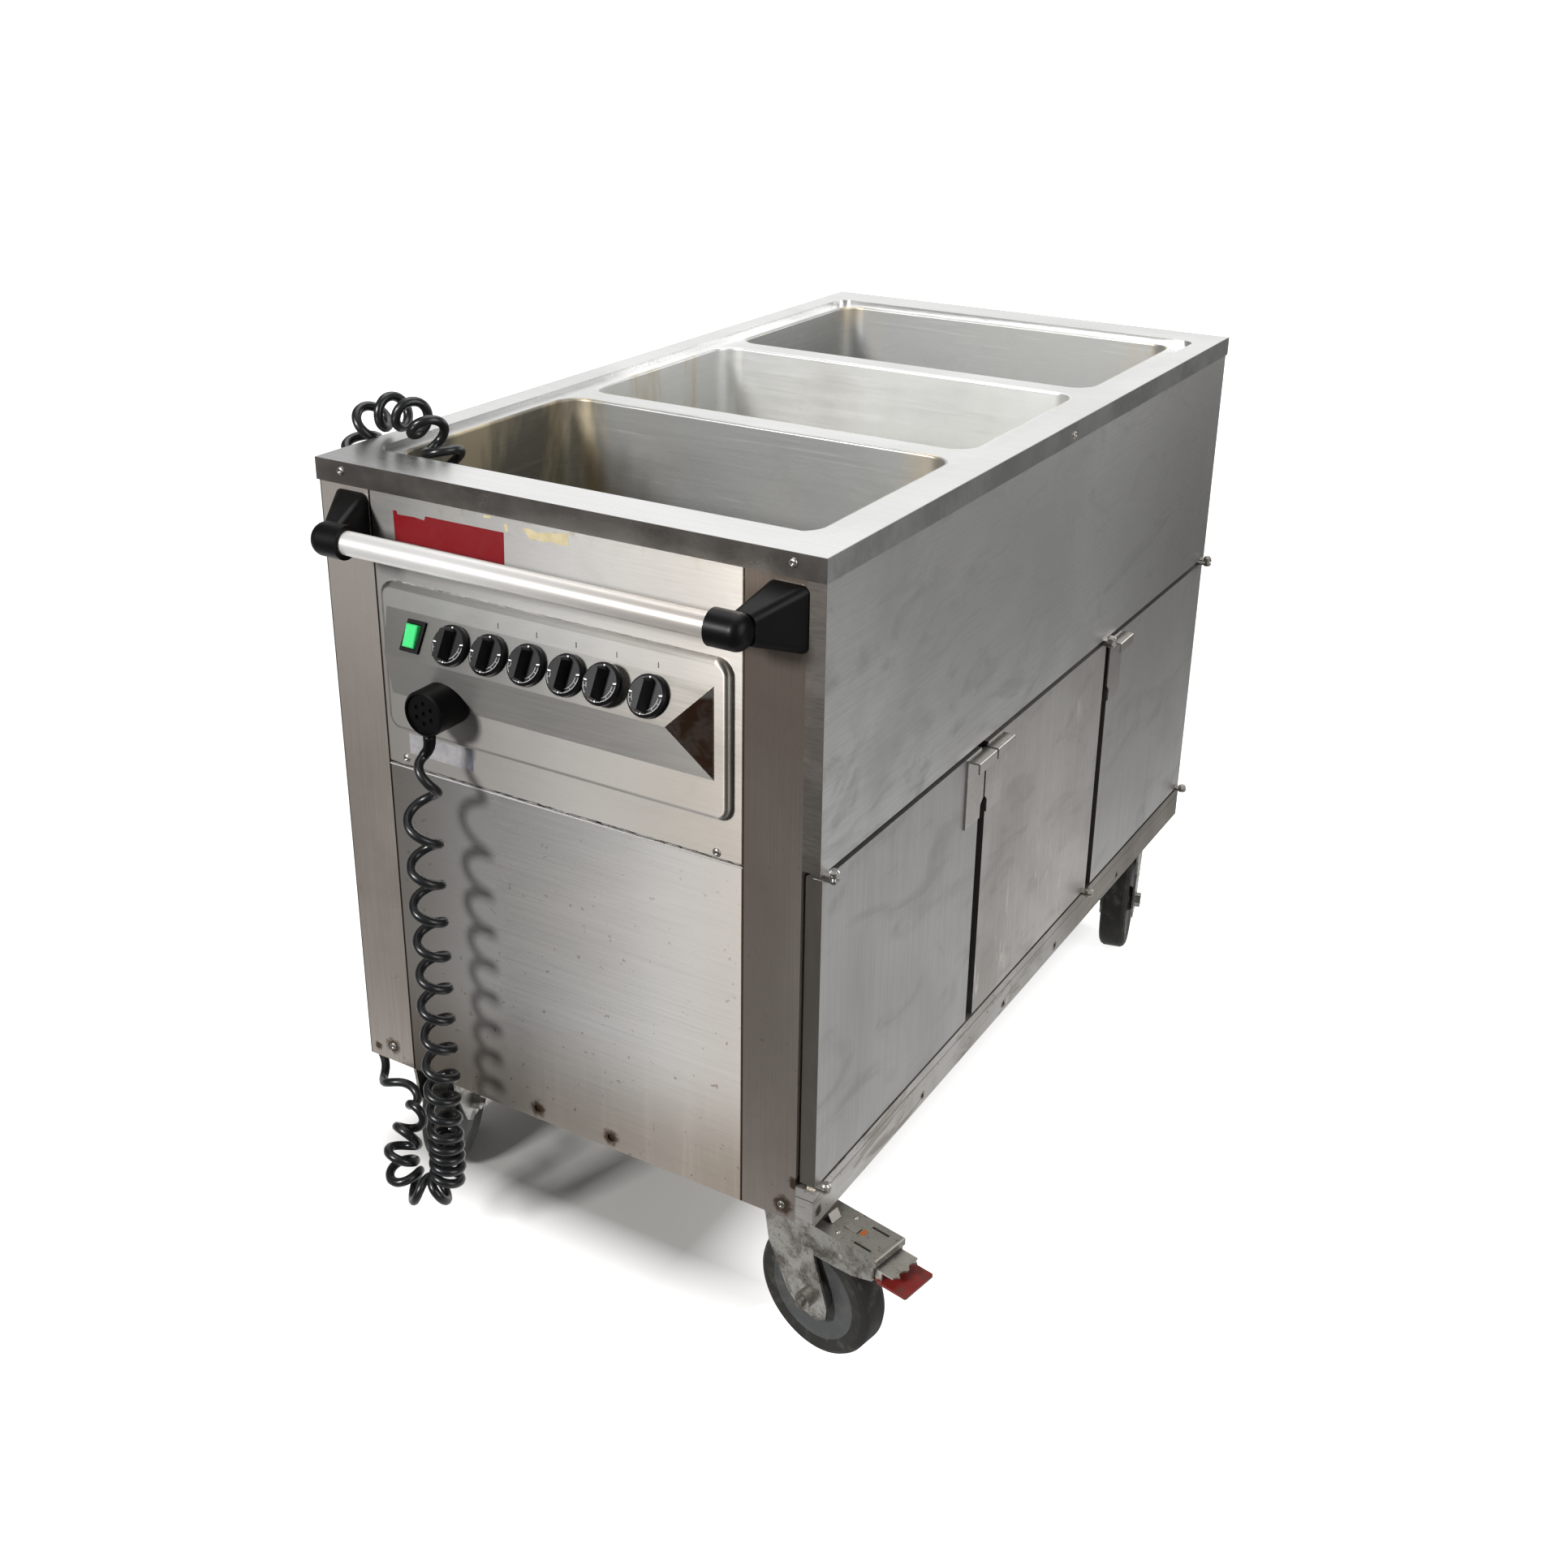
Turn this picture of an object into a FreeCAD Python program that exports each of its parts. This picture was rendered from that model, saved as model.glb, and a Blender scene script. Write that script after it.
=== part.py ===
import FreeCAD, Part
import math
import os

os.makedirs("parts", exist_ok=True)

V = FreeCAD.Vector

# Bain marie counter on castors, in millimetres
# X is the width, the doors are on the +X side
# Y is the length, the end with the controls faces -Y
# Z is up, the castors stand on z = 0

# Overall sizes
overall_height = 920.0
deck_width = 610.0
deck_length = 1130.0
castor_height = 190.0
skirt_drop = 3.0
cut_over = 5.0

# Deck
deck_sheet = 1.5
lip_height = 24.0
lip_standoff = 1.5
side_border = 30.0
end_border = 57.0
recess_depth = 6.0
recess_corner = 16.0
recess_slope = 3.0

# Wells
well_length = 504.0
well_depth = 200.0
well_gap = 37.0
well_end_margin = 70.5
well_shift = -5.0
well_corner = 28.0
well_floor_corner = 18.0
well_wall = 1.2
well_rim = 3.5
well_rim_round = 2.8
heater_length = 380.0
heater_width = 200.0
heater_thickness = 12.0
heater_stud = 20.0

# Carcass
sheet = 1.5
base_sheet = 2.0
door_thickness = 18.0
door_standoff = 2.5
post_width = 65.0
post_depth = 40.0
seam = 0.5
panel_joint = 3.0
control_height = 306.0
side_panel_height = 294.0
skirt_height = 46.0
fold = 14.0
channel_depth = 110.0
ceiling_drop = 4.0
partition_thickness = 12.0
partition_setback = 2.0
hole_radius = 2.5
skirt_hole_lift = 11.0
skirt_hole_inner = 82.0
skirt_hole_outer = 308.0
front_hole_radius = 4.5
front_hole_lift = 14.0
front_hole_left = -53.0
front_hole_right = 48.0
notch_size = 5.0
fold_clearance = 3.0

# Doors
door_top_gap = 7.0
door_bottom_gap = 4.0
door_gap = 18.0
door_margin = 4.0
door_sheet = 1.2
door_return = 16.0
lug_thickness = 1.8
lug_width = 12.0
lug_root = 10.0
pin_offset = 9.0
pin_inset = 6.5
pin_radius = 3.0
pin_clearance = 0.05
pin_end_gap = 0.2
pin_head_radius = 5.5
pin_head_height = 5.0
pin_foot_radius = 4.5
pin_foot_height = 1.6
handle_width = 45.0
handle_height = 85.0
handle_sheet = 2.0
handle_overlap = 7.0
handle_reach = 16.0
handle_lip = 13.0
handle_step = 62.0
handle_chamfer = 7.0
handle_drop = 2.0

# Push bar
bar_radius = 12.5
bar_wall = 1.5
bar_offset = 58.0
bar_drop = 63.0
bar_gap = 0.1
bar_entry = 22.0
bracket_base_width = 43.0
bracket_base_height = 66.0
bracket_base_corner = 8.0
bracket_end_radius = 18.0
bracket_end_inner = 15.0
bracket_inset = 21.0
bracket_reach = 44.0
bracket_skew = 18.0
bracket_nose_width = 26.0
bracket_round = 5.0

# Control panel relief
pillow_left = -225.0
pillow_right = 206.0
pillow_top_drop = 118.0
pillow_bottom_drop = 286.0
pillow_rise = 9.0
pillow_corner = 16.0
pillow_round = 6.0
strip_left = -215.0
strip_right = 190.0
strip_top_drop = 145.0
strip_bottom_drop = 243.0
ridge_drop = 187.0
ridge_rise = 24.0
ridge_left = -200.0
ridge_right = 150.0
ridge_flat = 2.0

# Controls on the sloped strip
control_row_drop = 166.0
knob_count = 6
knob_first = -118.0
knob_pitch = 48.5
knob_radius = 21.5
knob_skirt = 7.0
knob_chamfer = 2.5
knob_gap = 1.0
knob_height = 22.0
grip_width = 13.0
grip_length = 36.0
grip_taper = 3.0
pulled_knob = 5
pulled_distance = 7.5
shaft_radius = 3.0
shaft_hole_radius = 5.0
shaft_length = 24.0
shaft_clearance = 0.05
regulator_width = 34.0
regulator_depth = 26.0
regulator_gap = 0.4
switch_x = -168.5
bezel_width = 24.0
bezel_height = 34.0
bezel_thickness = 3.0
bezel_wall = 2.6
switch_depth = 20.0
button_gap = 0.5
button_rise = 5.0
button_pivot = 3.0
button_tilt = 7.0

# Cord outlet
outlet_x = -135.0
outlet_drop = 234.0
outlet_radius = 25.0
outlet_length = 45.0
outlet_chamfer = 2.0
outlet_rim = 3.0
outlet_recess = 3.0
outlet_hole_radius = 2.6
outlet_hole_ring = 11.0
outlet_hole_depth = 2.0
outlet_hole_count = 6
cord_radius = 5.25
cord_gap = 0.4
exit_inset = 9.0

# Cord
cord_sides = 6
cord_step = 0.25
cord_end = 12.0
cord_measure = 1.0
curl_phase = 0.0

# Plug on the floor of the front well
plug_x = -188.0
plug_start = 190.0
plug_radius = 26.0
plug_length = 96.0
plug_neck = 10.0
plug_neck_length = 34.0
plug_collar = 6.0
plug_skirt = 22.0
plug_wall = 2.5
plug_pin_radius = 2.5
plug_pin_ring = 12.0
plug_pin_count = 5

# Castors
wheel_radius = 75.0
tyre_width = 38.0
tyre_shoulder = 7.0
tyre_chamfer = 2.5
tyre_side = 1.5
hub_radius = 55.0
hub_face = 2.0
hub_boss_radius = 17.0
hub_dish = 4.0
hub_gap = 0.3
fork_sheet = 3.0
fork_inner = 22.0
trail = 45.0
crown_reach = 24.0
leg_drop = 80.0
leg_eye = 25.0
arm_start = 5.0
arm_length = 82.0
arm_depth = 38.0
heel_step = 3.0
heel_drop = 50.0
axle_radius = 6.0
axle_clearance = 0.05
axle_hole_gap = 0.15
axle_head = 8.0
axle_head_flats = 19.0
axle_collar = 10.0
axle_collar_radius = 10.0
axle_stub = 6.0
axle_stub_radius = 5.0
swivel_inset = 55.0
plate_length = 104.0
plate_width = 85.0
plate_thickness = 4.0
plate_corner = 8.0
race_radius = 32.0
race_foot_radius = 26.0
race_height = 10.0
race_gap = 0.5
crown_thickness = 4.0
crown_cup_radius = 28.0
crown_cup_height = 3.5
kingpin_radius = 7.0
kingpin_head_radius = 11.0
kingpin_head = 4.0
kingpin_gap = 0.3
brake_plate_sheet = 2.0
brake_flange = 8.0
brake_slot_near = 12.0
brake_slot_far = 34.0
brake_slot_half = 1.5
pedal_pivot_reach = 88.0
pedal_pivot_height = 153.0
pedal_pivot_radius = 3.0
pedal_barrel_radius = 5.0
pedal_cheek = 2.5
pedal_side_gap = 1.0
pedal_pad_half = 24.0
pedal_pad_start = 134.5
pedal_pad_end = 173.0
pedal_pad_level = 148.0
pedal_pad_sheet = 3.0
pedal_lug_half = 21.0
pedal_lug_end = 158.0
pedal_lug_level = 160.0
pedal_lug_sheet = 2.0
pedal_scallop = 6.5
pedal_nose_start = 82.0

# Outline of a fork leg in shares: front edge from the crown down, round the axle's eye, and under the brake arm
crown_shares = ((-1.0, 0.0), (-0.708, 0.275), (-0.5, 0.65), (0.125, 1.0))
eye_shares = ((-1.12, -0.36), (-0.48, -0.84), (0.56, -1.0), (1.0, -0.68), (1.04, -0.12))
arm_shares = ((0.012, 1.0), (0.354, 0.974), (0.659, 0.921), (0.976, 0.711))
brake_slot_share = 0.62
pin_crown_share = 0.4
grip_round_share = 0.9
scallop_shares = (-1.0, -0.385, 0.385, 1.0)
scallop_lead_share = 0.333

# Directions in which the castors trail, in degrees from +X
castor_angles = {"fl": 112.0, "fr": -10.7, "rl": -64.0, "rr": -76.5}

# Derived levels and faces
well_width = (deck_length - 2 * well_end_margin - 2 * well_gap) / 3
well_pitch = well_width + well_gap
top = overall_height
skirt_bottom = castor_height - skirt_drop
lip_bottom = top - lip_height
recess_level = top - recess_depth
front_face = -deck_length / 2 + deck_sheet + lip_standoff
rear_face = -front_face
right_face = deck_width / 2 - deck_sheet
left_face = -right_face
carcass_right = right_face - door_thickness - door_standoff
carcass_left = left_face + sheet
control_bottom = lip_bottom - (control_height)
side_bottom = lip_bottom - side_panel_height
door_top = side_bottom - door_top_gap
skirt_top = skirt_bottom + skirt_height
door_bottom = skirt_top + door_bottom_gap
floor_top = skirt_top
panel_top = top - deck_sheet - recess_slope
body_end = rear_face - door_margin
door_width = (2 * body_end - 2 * door_gap) / 3
panel_left = carcass_left + post_width + seam
panel_right = carcass_right - post_width - seam
fold_end_x = right_face - swivel_inset - plate_width / 2 - fold_clearance
fold_end_y = rear_face - swivel_inset - plate_length / 2 - fold_clearance
strip_angle = math.atan2(ridge_rise, ridge_drop - strip_top_drop)
out = V(0, -1, 0)
strip_normal = V(0, -math.cos(strip_angle), math.sin(strip_angle))
strip_down = V(0, -math.sin(strip_angle), -math.cos(strip_angle))


def box(x0, x1, y0, y1, z0, z1):
    return Part.makeBox(x1 - x0, y1 - y0, z1 - z0, V(x0, y0, z0))


def rod(start, direction, radius, length):
    return Part.makeCylinder(radius, length, start, direction)


def rounded_plate(x0, x1, y0, y1, z0, z1, corner):
    plate = box(x0, x1, y0, y1, z0, z1)
    edges = [e for e in plate.Edges if abs(e.tangentAt(e.FirstParameter).z) > 0.9]
    return plate.makeFillet(corner, edges)


def prism(points, direction):
    wire = Part.makePolygon(points + [points[0]])
    return Part.Face(wire).extrude(direction)


def strip_point(x, along, lift):
    # A point over the middle line of the sloped strip
    base = V(x, front_face - pillow_rise, top - strip_top_drop)
    half = (control_row_drop - strip_top_drop) / math.cos(strip_angle)
    return base + strip_down * (half + along) + strip_normal * lift


def strip_place(x, lift):
    # Local x stays, local y runs up the strip, local z stands out of it
    turn = FreeCAD.Rotation(V(1, 0, 0), V(0, 0, 0) - strip_down, strip_normal, "XYZ")
    return FreeCAD.Placement(strip_point(x, 0, lift), turn)


def moved(shape, place):
    copy = shape.copy()
    copy.Placement = place.multiply(copy.Placement)
    return copy


# Carcass

def base_channels():
    made = []
    for start in (front_face + sheet, rear_face - sheet - channel_depth):
        low, high = castor_height, floor_top - sheet
        outer = box(carcass_left, carcass_right, start, start + channel_depth, low, high)
        inner = box(carcass_left + base_sheet, carcass_right - base_sheet, start + base_sheet,
                    start + channel_depth - base_sheet, low + base_sheet, high + cut_over)
        made.append(outer.cut(inner))
    return made


def cupboard_floor():
    y0, y1 = front_face + sheet, rear_face - sheet
    plate = box(carcass_left, carcass_right, y0, y1, floor_top - sheet, floor_top)
    low = floor_top - sheet - fold
    inner0, inner1 = y0 + channel_depth, y1 - channel_depth
    left = box(carcass_left, carcass_left + sheet, inner0, inner1, low, floor_top)
    right = box(carcass_right - sheet, carcass_right, inner0, inner1, low, floor_top)
    return [plate.fuse([left, right]).removeSplitter()]


def side_skirt():
    outer = box(carcass_right, right_face, front_face, rear_face, skirt_bottom, skirt_top)
    inner = box(carcass_right - cut_over, right_face - sheet, front_face + sheet, rear_face - sheet,
                skirt_bottom + sheet, skirt_top - sheet)
    shape = outer.cut(inner)
    for y0, y1 in ((front_face + sheet, -fold_end_y), (fold_end_y, rear_face - sheet)):
        shape = shape.cut(box(carcass_right - cut_over, right_face - sheet, y0, y1,
                              skirt_bottom - cut_over, skirt_bottom + 2 * sheet))
    for y in (-skirt_hole_outer, -skirt_hole_inner, skirt_hole_inner, skirt_hole_outer):
        hole = rod(V(right_face - sheet - cut_over, y, skirt_bottom + skirt_hole_lift), V(1, 0, 0),
                   hole_radius, sheet + 2 * cut_over)
        shape = shape.cut(hole)
    notch = box(right_face - notch_size, right_face + cut_over, front_face - cut_over, front_face + notch_size,
                skirt_bottom - cut_over, skirt_bottom + notch_size)
    return [shape.cut(notch)]


def post(x0, x1, face, inward, open_side):
    # Channel post, open towards open_side, with its front strip down to the skirt line
    y_far = face + inward * post_depth
    outer = box(x0, x1, min(face, y_far), max(face, y_far), floor_top, top - deck_sheet)
    a, b = face + inward * sheet, y_far - inward * sheet
    if open_side > 0:
        inner = box(x0 + sheet, x1 + cut_over, min(a, b), max(a, b), floor_top - cut_over, top + cut_over)
    else:
        inner = box(x0 - cut_over, x1 - sheet, min(a, b), max(a, b), floor_top - cut_over, top + cut_over)
    strip_end = face + inward * sheet
    strip = box(x0, x1, min(face, strip_end), max(face, strip_end), skirt_bottom, floor_top)
    return outer.cut(inner).fuse(strip).removeSplitter()


def front_posts():
    left = post(carcass_left, carcass_left + post_width, front_face, 1, 1)
    right = post(carcass_right - post_width, carcass_right, front_face, 1, -1)
    return [left, right]


def rear_posts():
    left = post(carcass_left, carcass_left + post_width, rear_face, -1, 1)
    right = post(carcass_right - post_width, carcass_right, rear_face, -1, -1)
    return [left, right]


def side_panel_left():
    plate = box(left_face, carcass_left, front_face, rear_face, skirt_bottom, panel_top)
    flange = box(left_face, carcass_left + fold, -fold_end_y, fold_end_y, skirt_bottom, skirt_bottom + sheet)
    return [plate.fuse(flange).removeSplitter()]


def rear_panel():
    plate = box(panel_left, panel_right, rear_face - sheet, rear_face, skirt_bottom, panel_top)
    flange = box(-fold_end_x, fold_end_x, rear_face - fold, rear_face, skirt_bottom, skirt_bottom + sheet)
    return [plate.fuse(flange).removeSplitter()]


def side_panel_right():
    outer = box(carcass_right, right_face, front_face, rear_face, side_bottom, panel_top)
    inner = box(carcass_right - cut_over, right_face - sheet, front_face + sheet, rear_face - sheet,
                side_bottom + sheet, panel_top - sheet)
    return [outer.cut(inner)]


def lower_front_panel():
    high = control_bottom - panel_joint
    plate = box(panel_left, panel_right, front_face, front_face + sheet, skirt_bottom, high)
    low_fold = box(-fold_end_x, fold_end_x, front_face, front_face + fold, skirt_bottom, skirt_bottom + sheet)
    high_fold = box(panel_left, panel_right, front_face, front_face + fold, high - sheet, high)
    shape = plate.fuse([low_fold, high_fold]).removeSplitter()
    for x in (front_hole_left, front_hole_right):
        hole = rod(V(x, front_face - cut_over, skirt_bottom + front_hole_lift), V(0, 1, 0),
                   front_hole_radius, sheet + 2 * cut_over)
        shape = shape.cut(hole)
    return [shape]


def cupboard_ceiling():
    level = side_bottom - ceiling_drop
    y0, y1 = front_face + post_depth, rear_face - post_depth
    plate = box(carcass_left, carcass_right, y0, y1, level, level + sheet)
    rims = [box(carcass_left, carcass_left + sheet, y0, y1, level, level + fold),
            box(carcass_right - sheet, carcass_right, y0, y1, level, level + fold)]
    return [plate.fuse(rims).removeSplitter()]


def cupboard_partitions():
    made = []
    middle = (door_width + door_gap) / 2
    for y in (-middle, middle):
        half = partition_thickness / 2
        outer = box(carcass_left, carcass_right - partition_setback, y - half, y + half,
                    floor_top, side_bottom - ceiling_drop)
        inner = box(carcass_left - cut_over, carcass_right - partition_setback - sheet,
                    y - half + sheet, y + half - sheet, floor_top - cut_over, side_bottom + cut_over)
        made.append(outer.cut(inner))
    return made


# Deck and wells

def recess_box(grow, z0, z1):
    half_x = deck_width / 2 - side_border - grow
    half_y = deck_length / 2 - end_border - grow
    return rounded_plate(-half_x, half_x, -half_y, half_y, z0, z1, recess_corner)


def well_centres():
    return [-well_pitch, well_pitch - well_pitch, well_pitch]


def well_window(y, z0, z1):
    half_x = well_length / 2 + well_rim
    half_y = well_width / 2 + well_rim
    return rounded_plate(well_shift - half_x, well_shift + half_x, y - half_y, y + half_y, z0, z1,
                         well_corner + well_rim)


def top_deck():
    half_x, half_y = deck_width / 2, deck_length / 2
    outer = box(-half_x, half_x, -half_y, half_y, lip_bottom, top)
    under = box(-half_x + deck_sheet, half_x - deck_sheet, -half_y + deck_sheet, half_y - deck_sheet,
                lip_bottom - cut_over, top - deck_sheet)
    shape = outer.cut(under)
    pan = recess_box(-deck_sheet, recess_level - deck_sheet, top - deck_sheet)
    shape = shape.fuse(pan)
    pocket = recess_box(0, recess_level, top + cut_over)
    shape = shape.cut(pocket)
    for y in well_centres():
        shape = shape.cut(well_window(y, recess_level - deck_sheet - cut_over, recess_level + cut_over))
    return [shape.removeSplitter()]


def well(y):
    # Tub with rounded walls and floor, hanging in its window by a rounded rim
    x0, x1 = well_shift - well_length / 2, well_shift + well_length / 2
    y0, y1 = y - well_width / 2, y + well_width / 2
    low = recess_level - well_depth

    def tub(grow, bottom, height):
        body = rounded_plate(x0 - grow, x1 + grow, y0 - grow, y1 + grow, bottom, height, well_corner + grow)
        floor_edges = [e for e in body.Edges if abs(e.BoundBox.ZMax - bottom) < 0.01 * well_wall
                       and abs(e.BoundBox.ZMin - bottom) < 0.01 * well_wall]
        return body.makeFillet(well_floor_corner + grow, floor_edges)

    ring = well_window(y, recess_level - well_rim, recess_level)
    outer = tub(well_wall, low - well_wall, recess_level).fuse(ring)
    shape = outer.cut(tub(0, low, recess_level + cut_over + well_floor_corner))
    near = 0.5 * well_rim
    rim = [e for e in shape.Edges if abs(e.BoundBox.ZMin - recess_level) < 0.01 * well_wall
           and e.BoundBox.XMin > x0 - near and e.BoundBox.XMax < x1 + near
           and e.BoundBox.YMin > y0 - near and e.BoundBox.YMax < y1 + near]
    return [shape.makeFillet(well_rim_round, rim)]


def well_heaters():
    made = []
    level = recess_level - well_depth - well_wall
    for y in well_centres():
        pad = rounded_plate(well_shift - heater_length / 2, well_shift + heater_length / 2,
                            y - heater_width / 2, y + heater_width / 2, level - heater_thickness, level,
                            heater_stud)
        stud = box(well_shift - heater_stud, well_shift + heater_stud, y - heater_stud, y + heater_stud,
                   level - heater_thickness - heater_stud, level - heater_thickness)
        made.append(pad.fuse(stud))
    return made


# Front fittings

def pillow(inset):
    shape = Part.makeBox(pillow_right - pillow_left - 2 * inset, pillow_rise + sheet,
                         pillow_bottom_drop - pillow_top_drop - 2 * inset,
                         V(pillow_left + inset, front_face - pillow_rise + inset,
                           top - pillow_bottom_drop + inset))
    sides = [e for e in shape.Edges if abs(e.tangentAt(e.FirstParameter).y) > 0.9]
    shape = shape.makeFillet(pillow_corner - inset, sides)
    face_y = front_face - pillow_rise + inset
    rim = [e for e in shape.Edges if abs(e.BoundBox.YMin - face_y) < 0.01 * sheet
           and abs(e.BoundBox.YMax - face_y) < 0.01 * sheet]
    return shape.makeFillet(pillow_round, rim)


def strip_wedge(sink):
    # Low wedge with a ridge, its base a little inside the pillow
    base = front_face - pillow_rise + sink
    rise = ridge_rise
    under = sheet
    grow = under / rise
    z_top, z_low, z_ridge = top - strip_top_drop, top - strip_bottom_drop, top - ridge_drop
    corners = [V(strip_left - (ridge_left - strip_left) * grow, base + under, z_top + (z_top - z_ridge) * grow),
               V(strip_right + (strip_right - ridge_right) * grow, base + under, z_top + (z_top - z_ridge) * grow),
               V(strip_right + (strip_right - ridge_right) * grow, base + under, z_low - (z_ridge - z_low) * grow),
               V(strip_left - (ridge_left - strip_left) * grow, base + under, z_low - (z_ridge - z_low) * grow)]
    ridge = [V(ridge_left, base - rise, z_ridge), V(ridge_right, base - rise, z_ridge),
             V(ridge_right, base - rise + ridge_flat * (rise / (z_ridge - z_low)), z_ridge - ridge_flat),
             V(ridge_left, base - rise + ridge_flat * (rise / (z_ridge - z_low)), z_ridge - ridge_flat)]
    a, b, c, d = corners
    e, f, g, h = ridge
    faces = [[a, b, c, d], [a, b, f, e], [b, c, f], [d, c, f, e], [a, e, d]]
    made = [Part.Face(Part.makePolygon(loop + [loop[0]])) for loop in faces]
    return Part.makeSolid(Part.makeShell(made))


def relief():
    return pillow(0).fuse(strip_wedge(0))


def control_panel():
    plate = box(panel_left, panel_right, front_face, front_face + sheet, control_bottom, panel_top)
    fold_low = box(panel_left, panel_right, front_face, front_face + fold, control_bottom, control_bottom + sheet)
    shape = plate.fuse([fold_low, relief()]).removeSplitter()
    hollow = pillow(sheet)
    shape = shape.cut(hollow)
    back = box(pillow_left + pillow_corner, pillow_right - pillow_corner, front_face - sheet,
               front_face + sheet + cut_over, top - pillow_bottom_drop + pillow_corner,
               top - pillow_top_drop - pillow_corner)
    shape = shape.cut(back).cut(strip_wedge(sheet / math.cos(strip_angle)))
    for i in range(knob_count):
        x = knob_first + i * knob_pitch
        shape = shape.cut(rod(strip_point(x, 0, -cut_over - sheet), strip_normal, shaft_hole_radius,
                              2 * cut_over + sheet))
    half_x, half_y = bezel_width / 2 - bezel_wall, bezel_height / 2 - bezel_wall
    slot = Part.makeBox(2 * half_x, 2 * half_y, 2 * cut_over + sheet, V(-half_x, -half_y, -cut_over - sheet))
    shape = shape.cut(moved(slot, strip_place(switch_x, 0)))
    return [shape]


def knob(i):
    # Dial with a bevelled skirt, a tapered grip bar and the shaft behind it
    lift = knob_gap + (pulled_distance if i == pulled_knob - 1 else 0)
    x = knob_first + i * knob_pitch
    r, c, h = knob_radius, knob_chamfer, knob_skirt
    outline = Part.makePolygon([V(0, 0, 0), V(r, 0, 0), V(r, 0, h - c), V(r - c, 0, h), V(0, 0, h), V(0, 0, 0)])
    dial = Part.Face(outline).revolve(V(0, 0, 0), V(0, 0, 1), 360)
    w, t, n = grip_width / 2, grip_taper, grip_length / 2

    def ring(half_w, half_n, z):
        nose = half_w * 0.5
        return Part.makePolygon([V(-half_w, -half_n, z), V(half_w, -half_n, z), V(half_w, half_n - nose, z),
                                 V(nose, half_n, z), V(-nose, half_n, z), V(-half_w, half_n - nose, z),
                                 V(-half_w, -half_n, z)])

    grip = Part.makeLoft([ring(w, n, h - c), ring(w - t, n - t, knob_height)], True, True)
    shaft = Part.makeCylinder(shaft_radius, shaft_length + pulled_distance, V(0, 0, -shaft_length), V(0, 0, 1))
    return [moved(dial.fuse([grip, shaft]), strip_place(x, lift))]


def heat_regulators():
    made = []
    for i in range(knob_count):
        x = knob_first + i * knob_pitch
        half = regulator_width / 2
        start = -sheet - regulator_gap - regulator_depth
        body = Part.makeBox(2 * half, 2 * half, regulator_depth, V(-half, -half, start))
        bore = Part.makeCylinder(shaft_radius + shaft_clearance, regulator_depth + 2 * cut_over,
                                 V(0, 0, start - cut_over), V(0, 0, 1))
        neck = Part.makeCylinder(shaft_hole_radius - regulator_gap, sheet + regulator_gap,
                                 V(0, 0, -sheet - regulator_gap), V(0, 0, 1))
        made.append(moved(body.fuse(neck).cut(bore), strip_place(x, 0)))
    return made


def rocker_bezel():
    w, n = bezel_width / 2, bezel_height / 2
    face = rounded_plate(-w, w, -n, n, 0, bezel_thickness, bezel_wall / 2)
    well_w, well_n = w - bezel_wall, n - bezel_wall
    case = Part.makeBox(2 * well_w - seam, 2 * well_n - seam, switch_depth,
                        V(-well_w + seam / 2, -well_n + seam / 2, -switch_depth))
    inner_w, inner_n = well_w - bezel_wall / 2, well_n - bezel_wall / 2
    pocket = Part.makeBox(2 * inner_w, 2 * inner_n, switch_depth + cut_over,
                          V(-inner_w, -inner_n, -switch_depth + bezel_wall))
    return [moved(face.fuse(case).cut(pocket), strip_place(switch_x, 0))]


def rocker_button():
    # The rocker leans on its upper half at rest
    w = bezel_width / 2 - 1.5 * bezel_wall - button_gap
    n = bezel_height / 2 - 1.5 * bezel_wall
    high = bezel_thickness + button_rise - button_pivot
    low = -button_pivot - bezel_wall
    swing = math.radians(button_tilt)
    reach_high = (n - button_gap - high * math.sin(swing)) / math.cos(swing)
    profile = [V(0, -reach_high, high), V(0, reach_high, high), V(0, reach_high, low), V(0, -reach_high, low)]
    body = prism([p + V(-w, 0, 0) for p in profile], V(2 * w, 0, 0))
    top_edges = [e for e in body.Edges if abs(e.CenterOfMass.z - high) < 0.01 * button_gap]
    body = body.makeChamfer(button_gap * 2, top_edges)
    axle = Part.makeCylinder(button_pivot / 2, 2 * (w + button_gap), V(-w - button_gap, 0, 0), V(1, 0, 0))
    body = body.fuse(axle)
    body.rotate(V(0, 0, 0), V(1, 0, 0), button_tilt)
    return [moved(body, strip_place(switch_x, button_pivot))]


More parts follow.
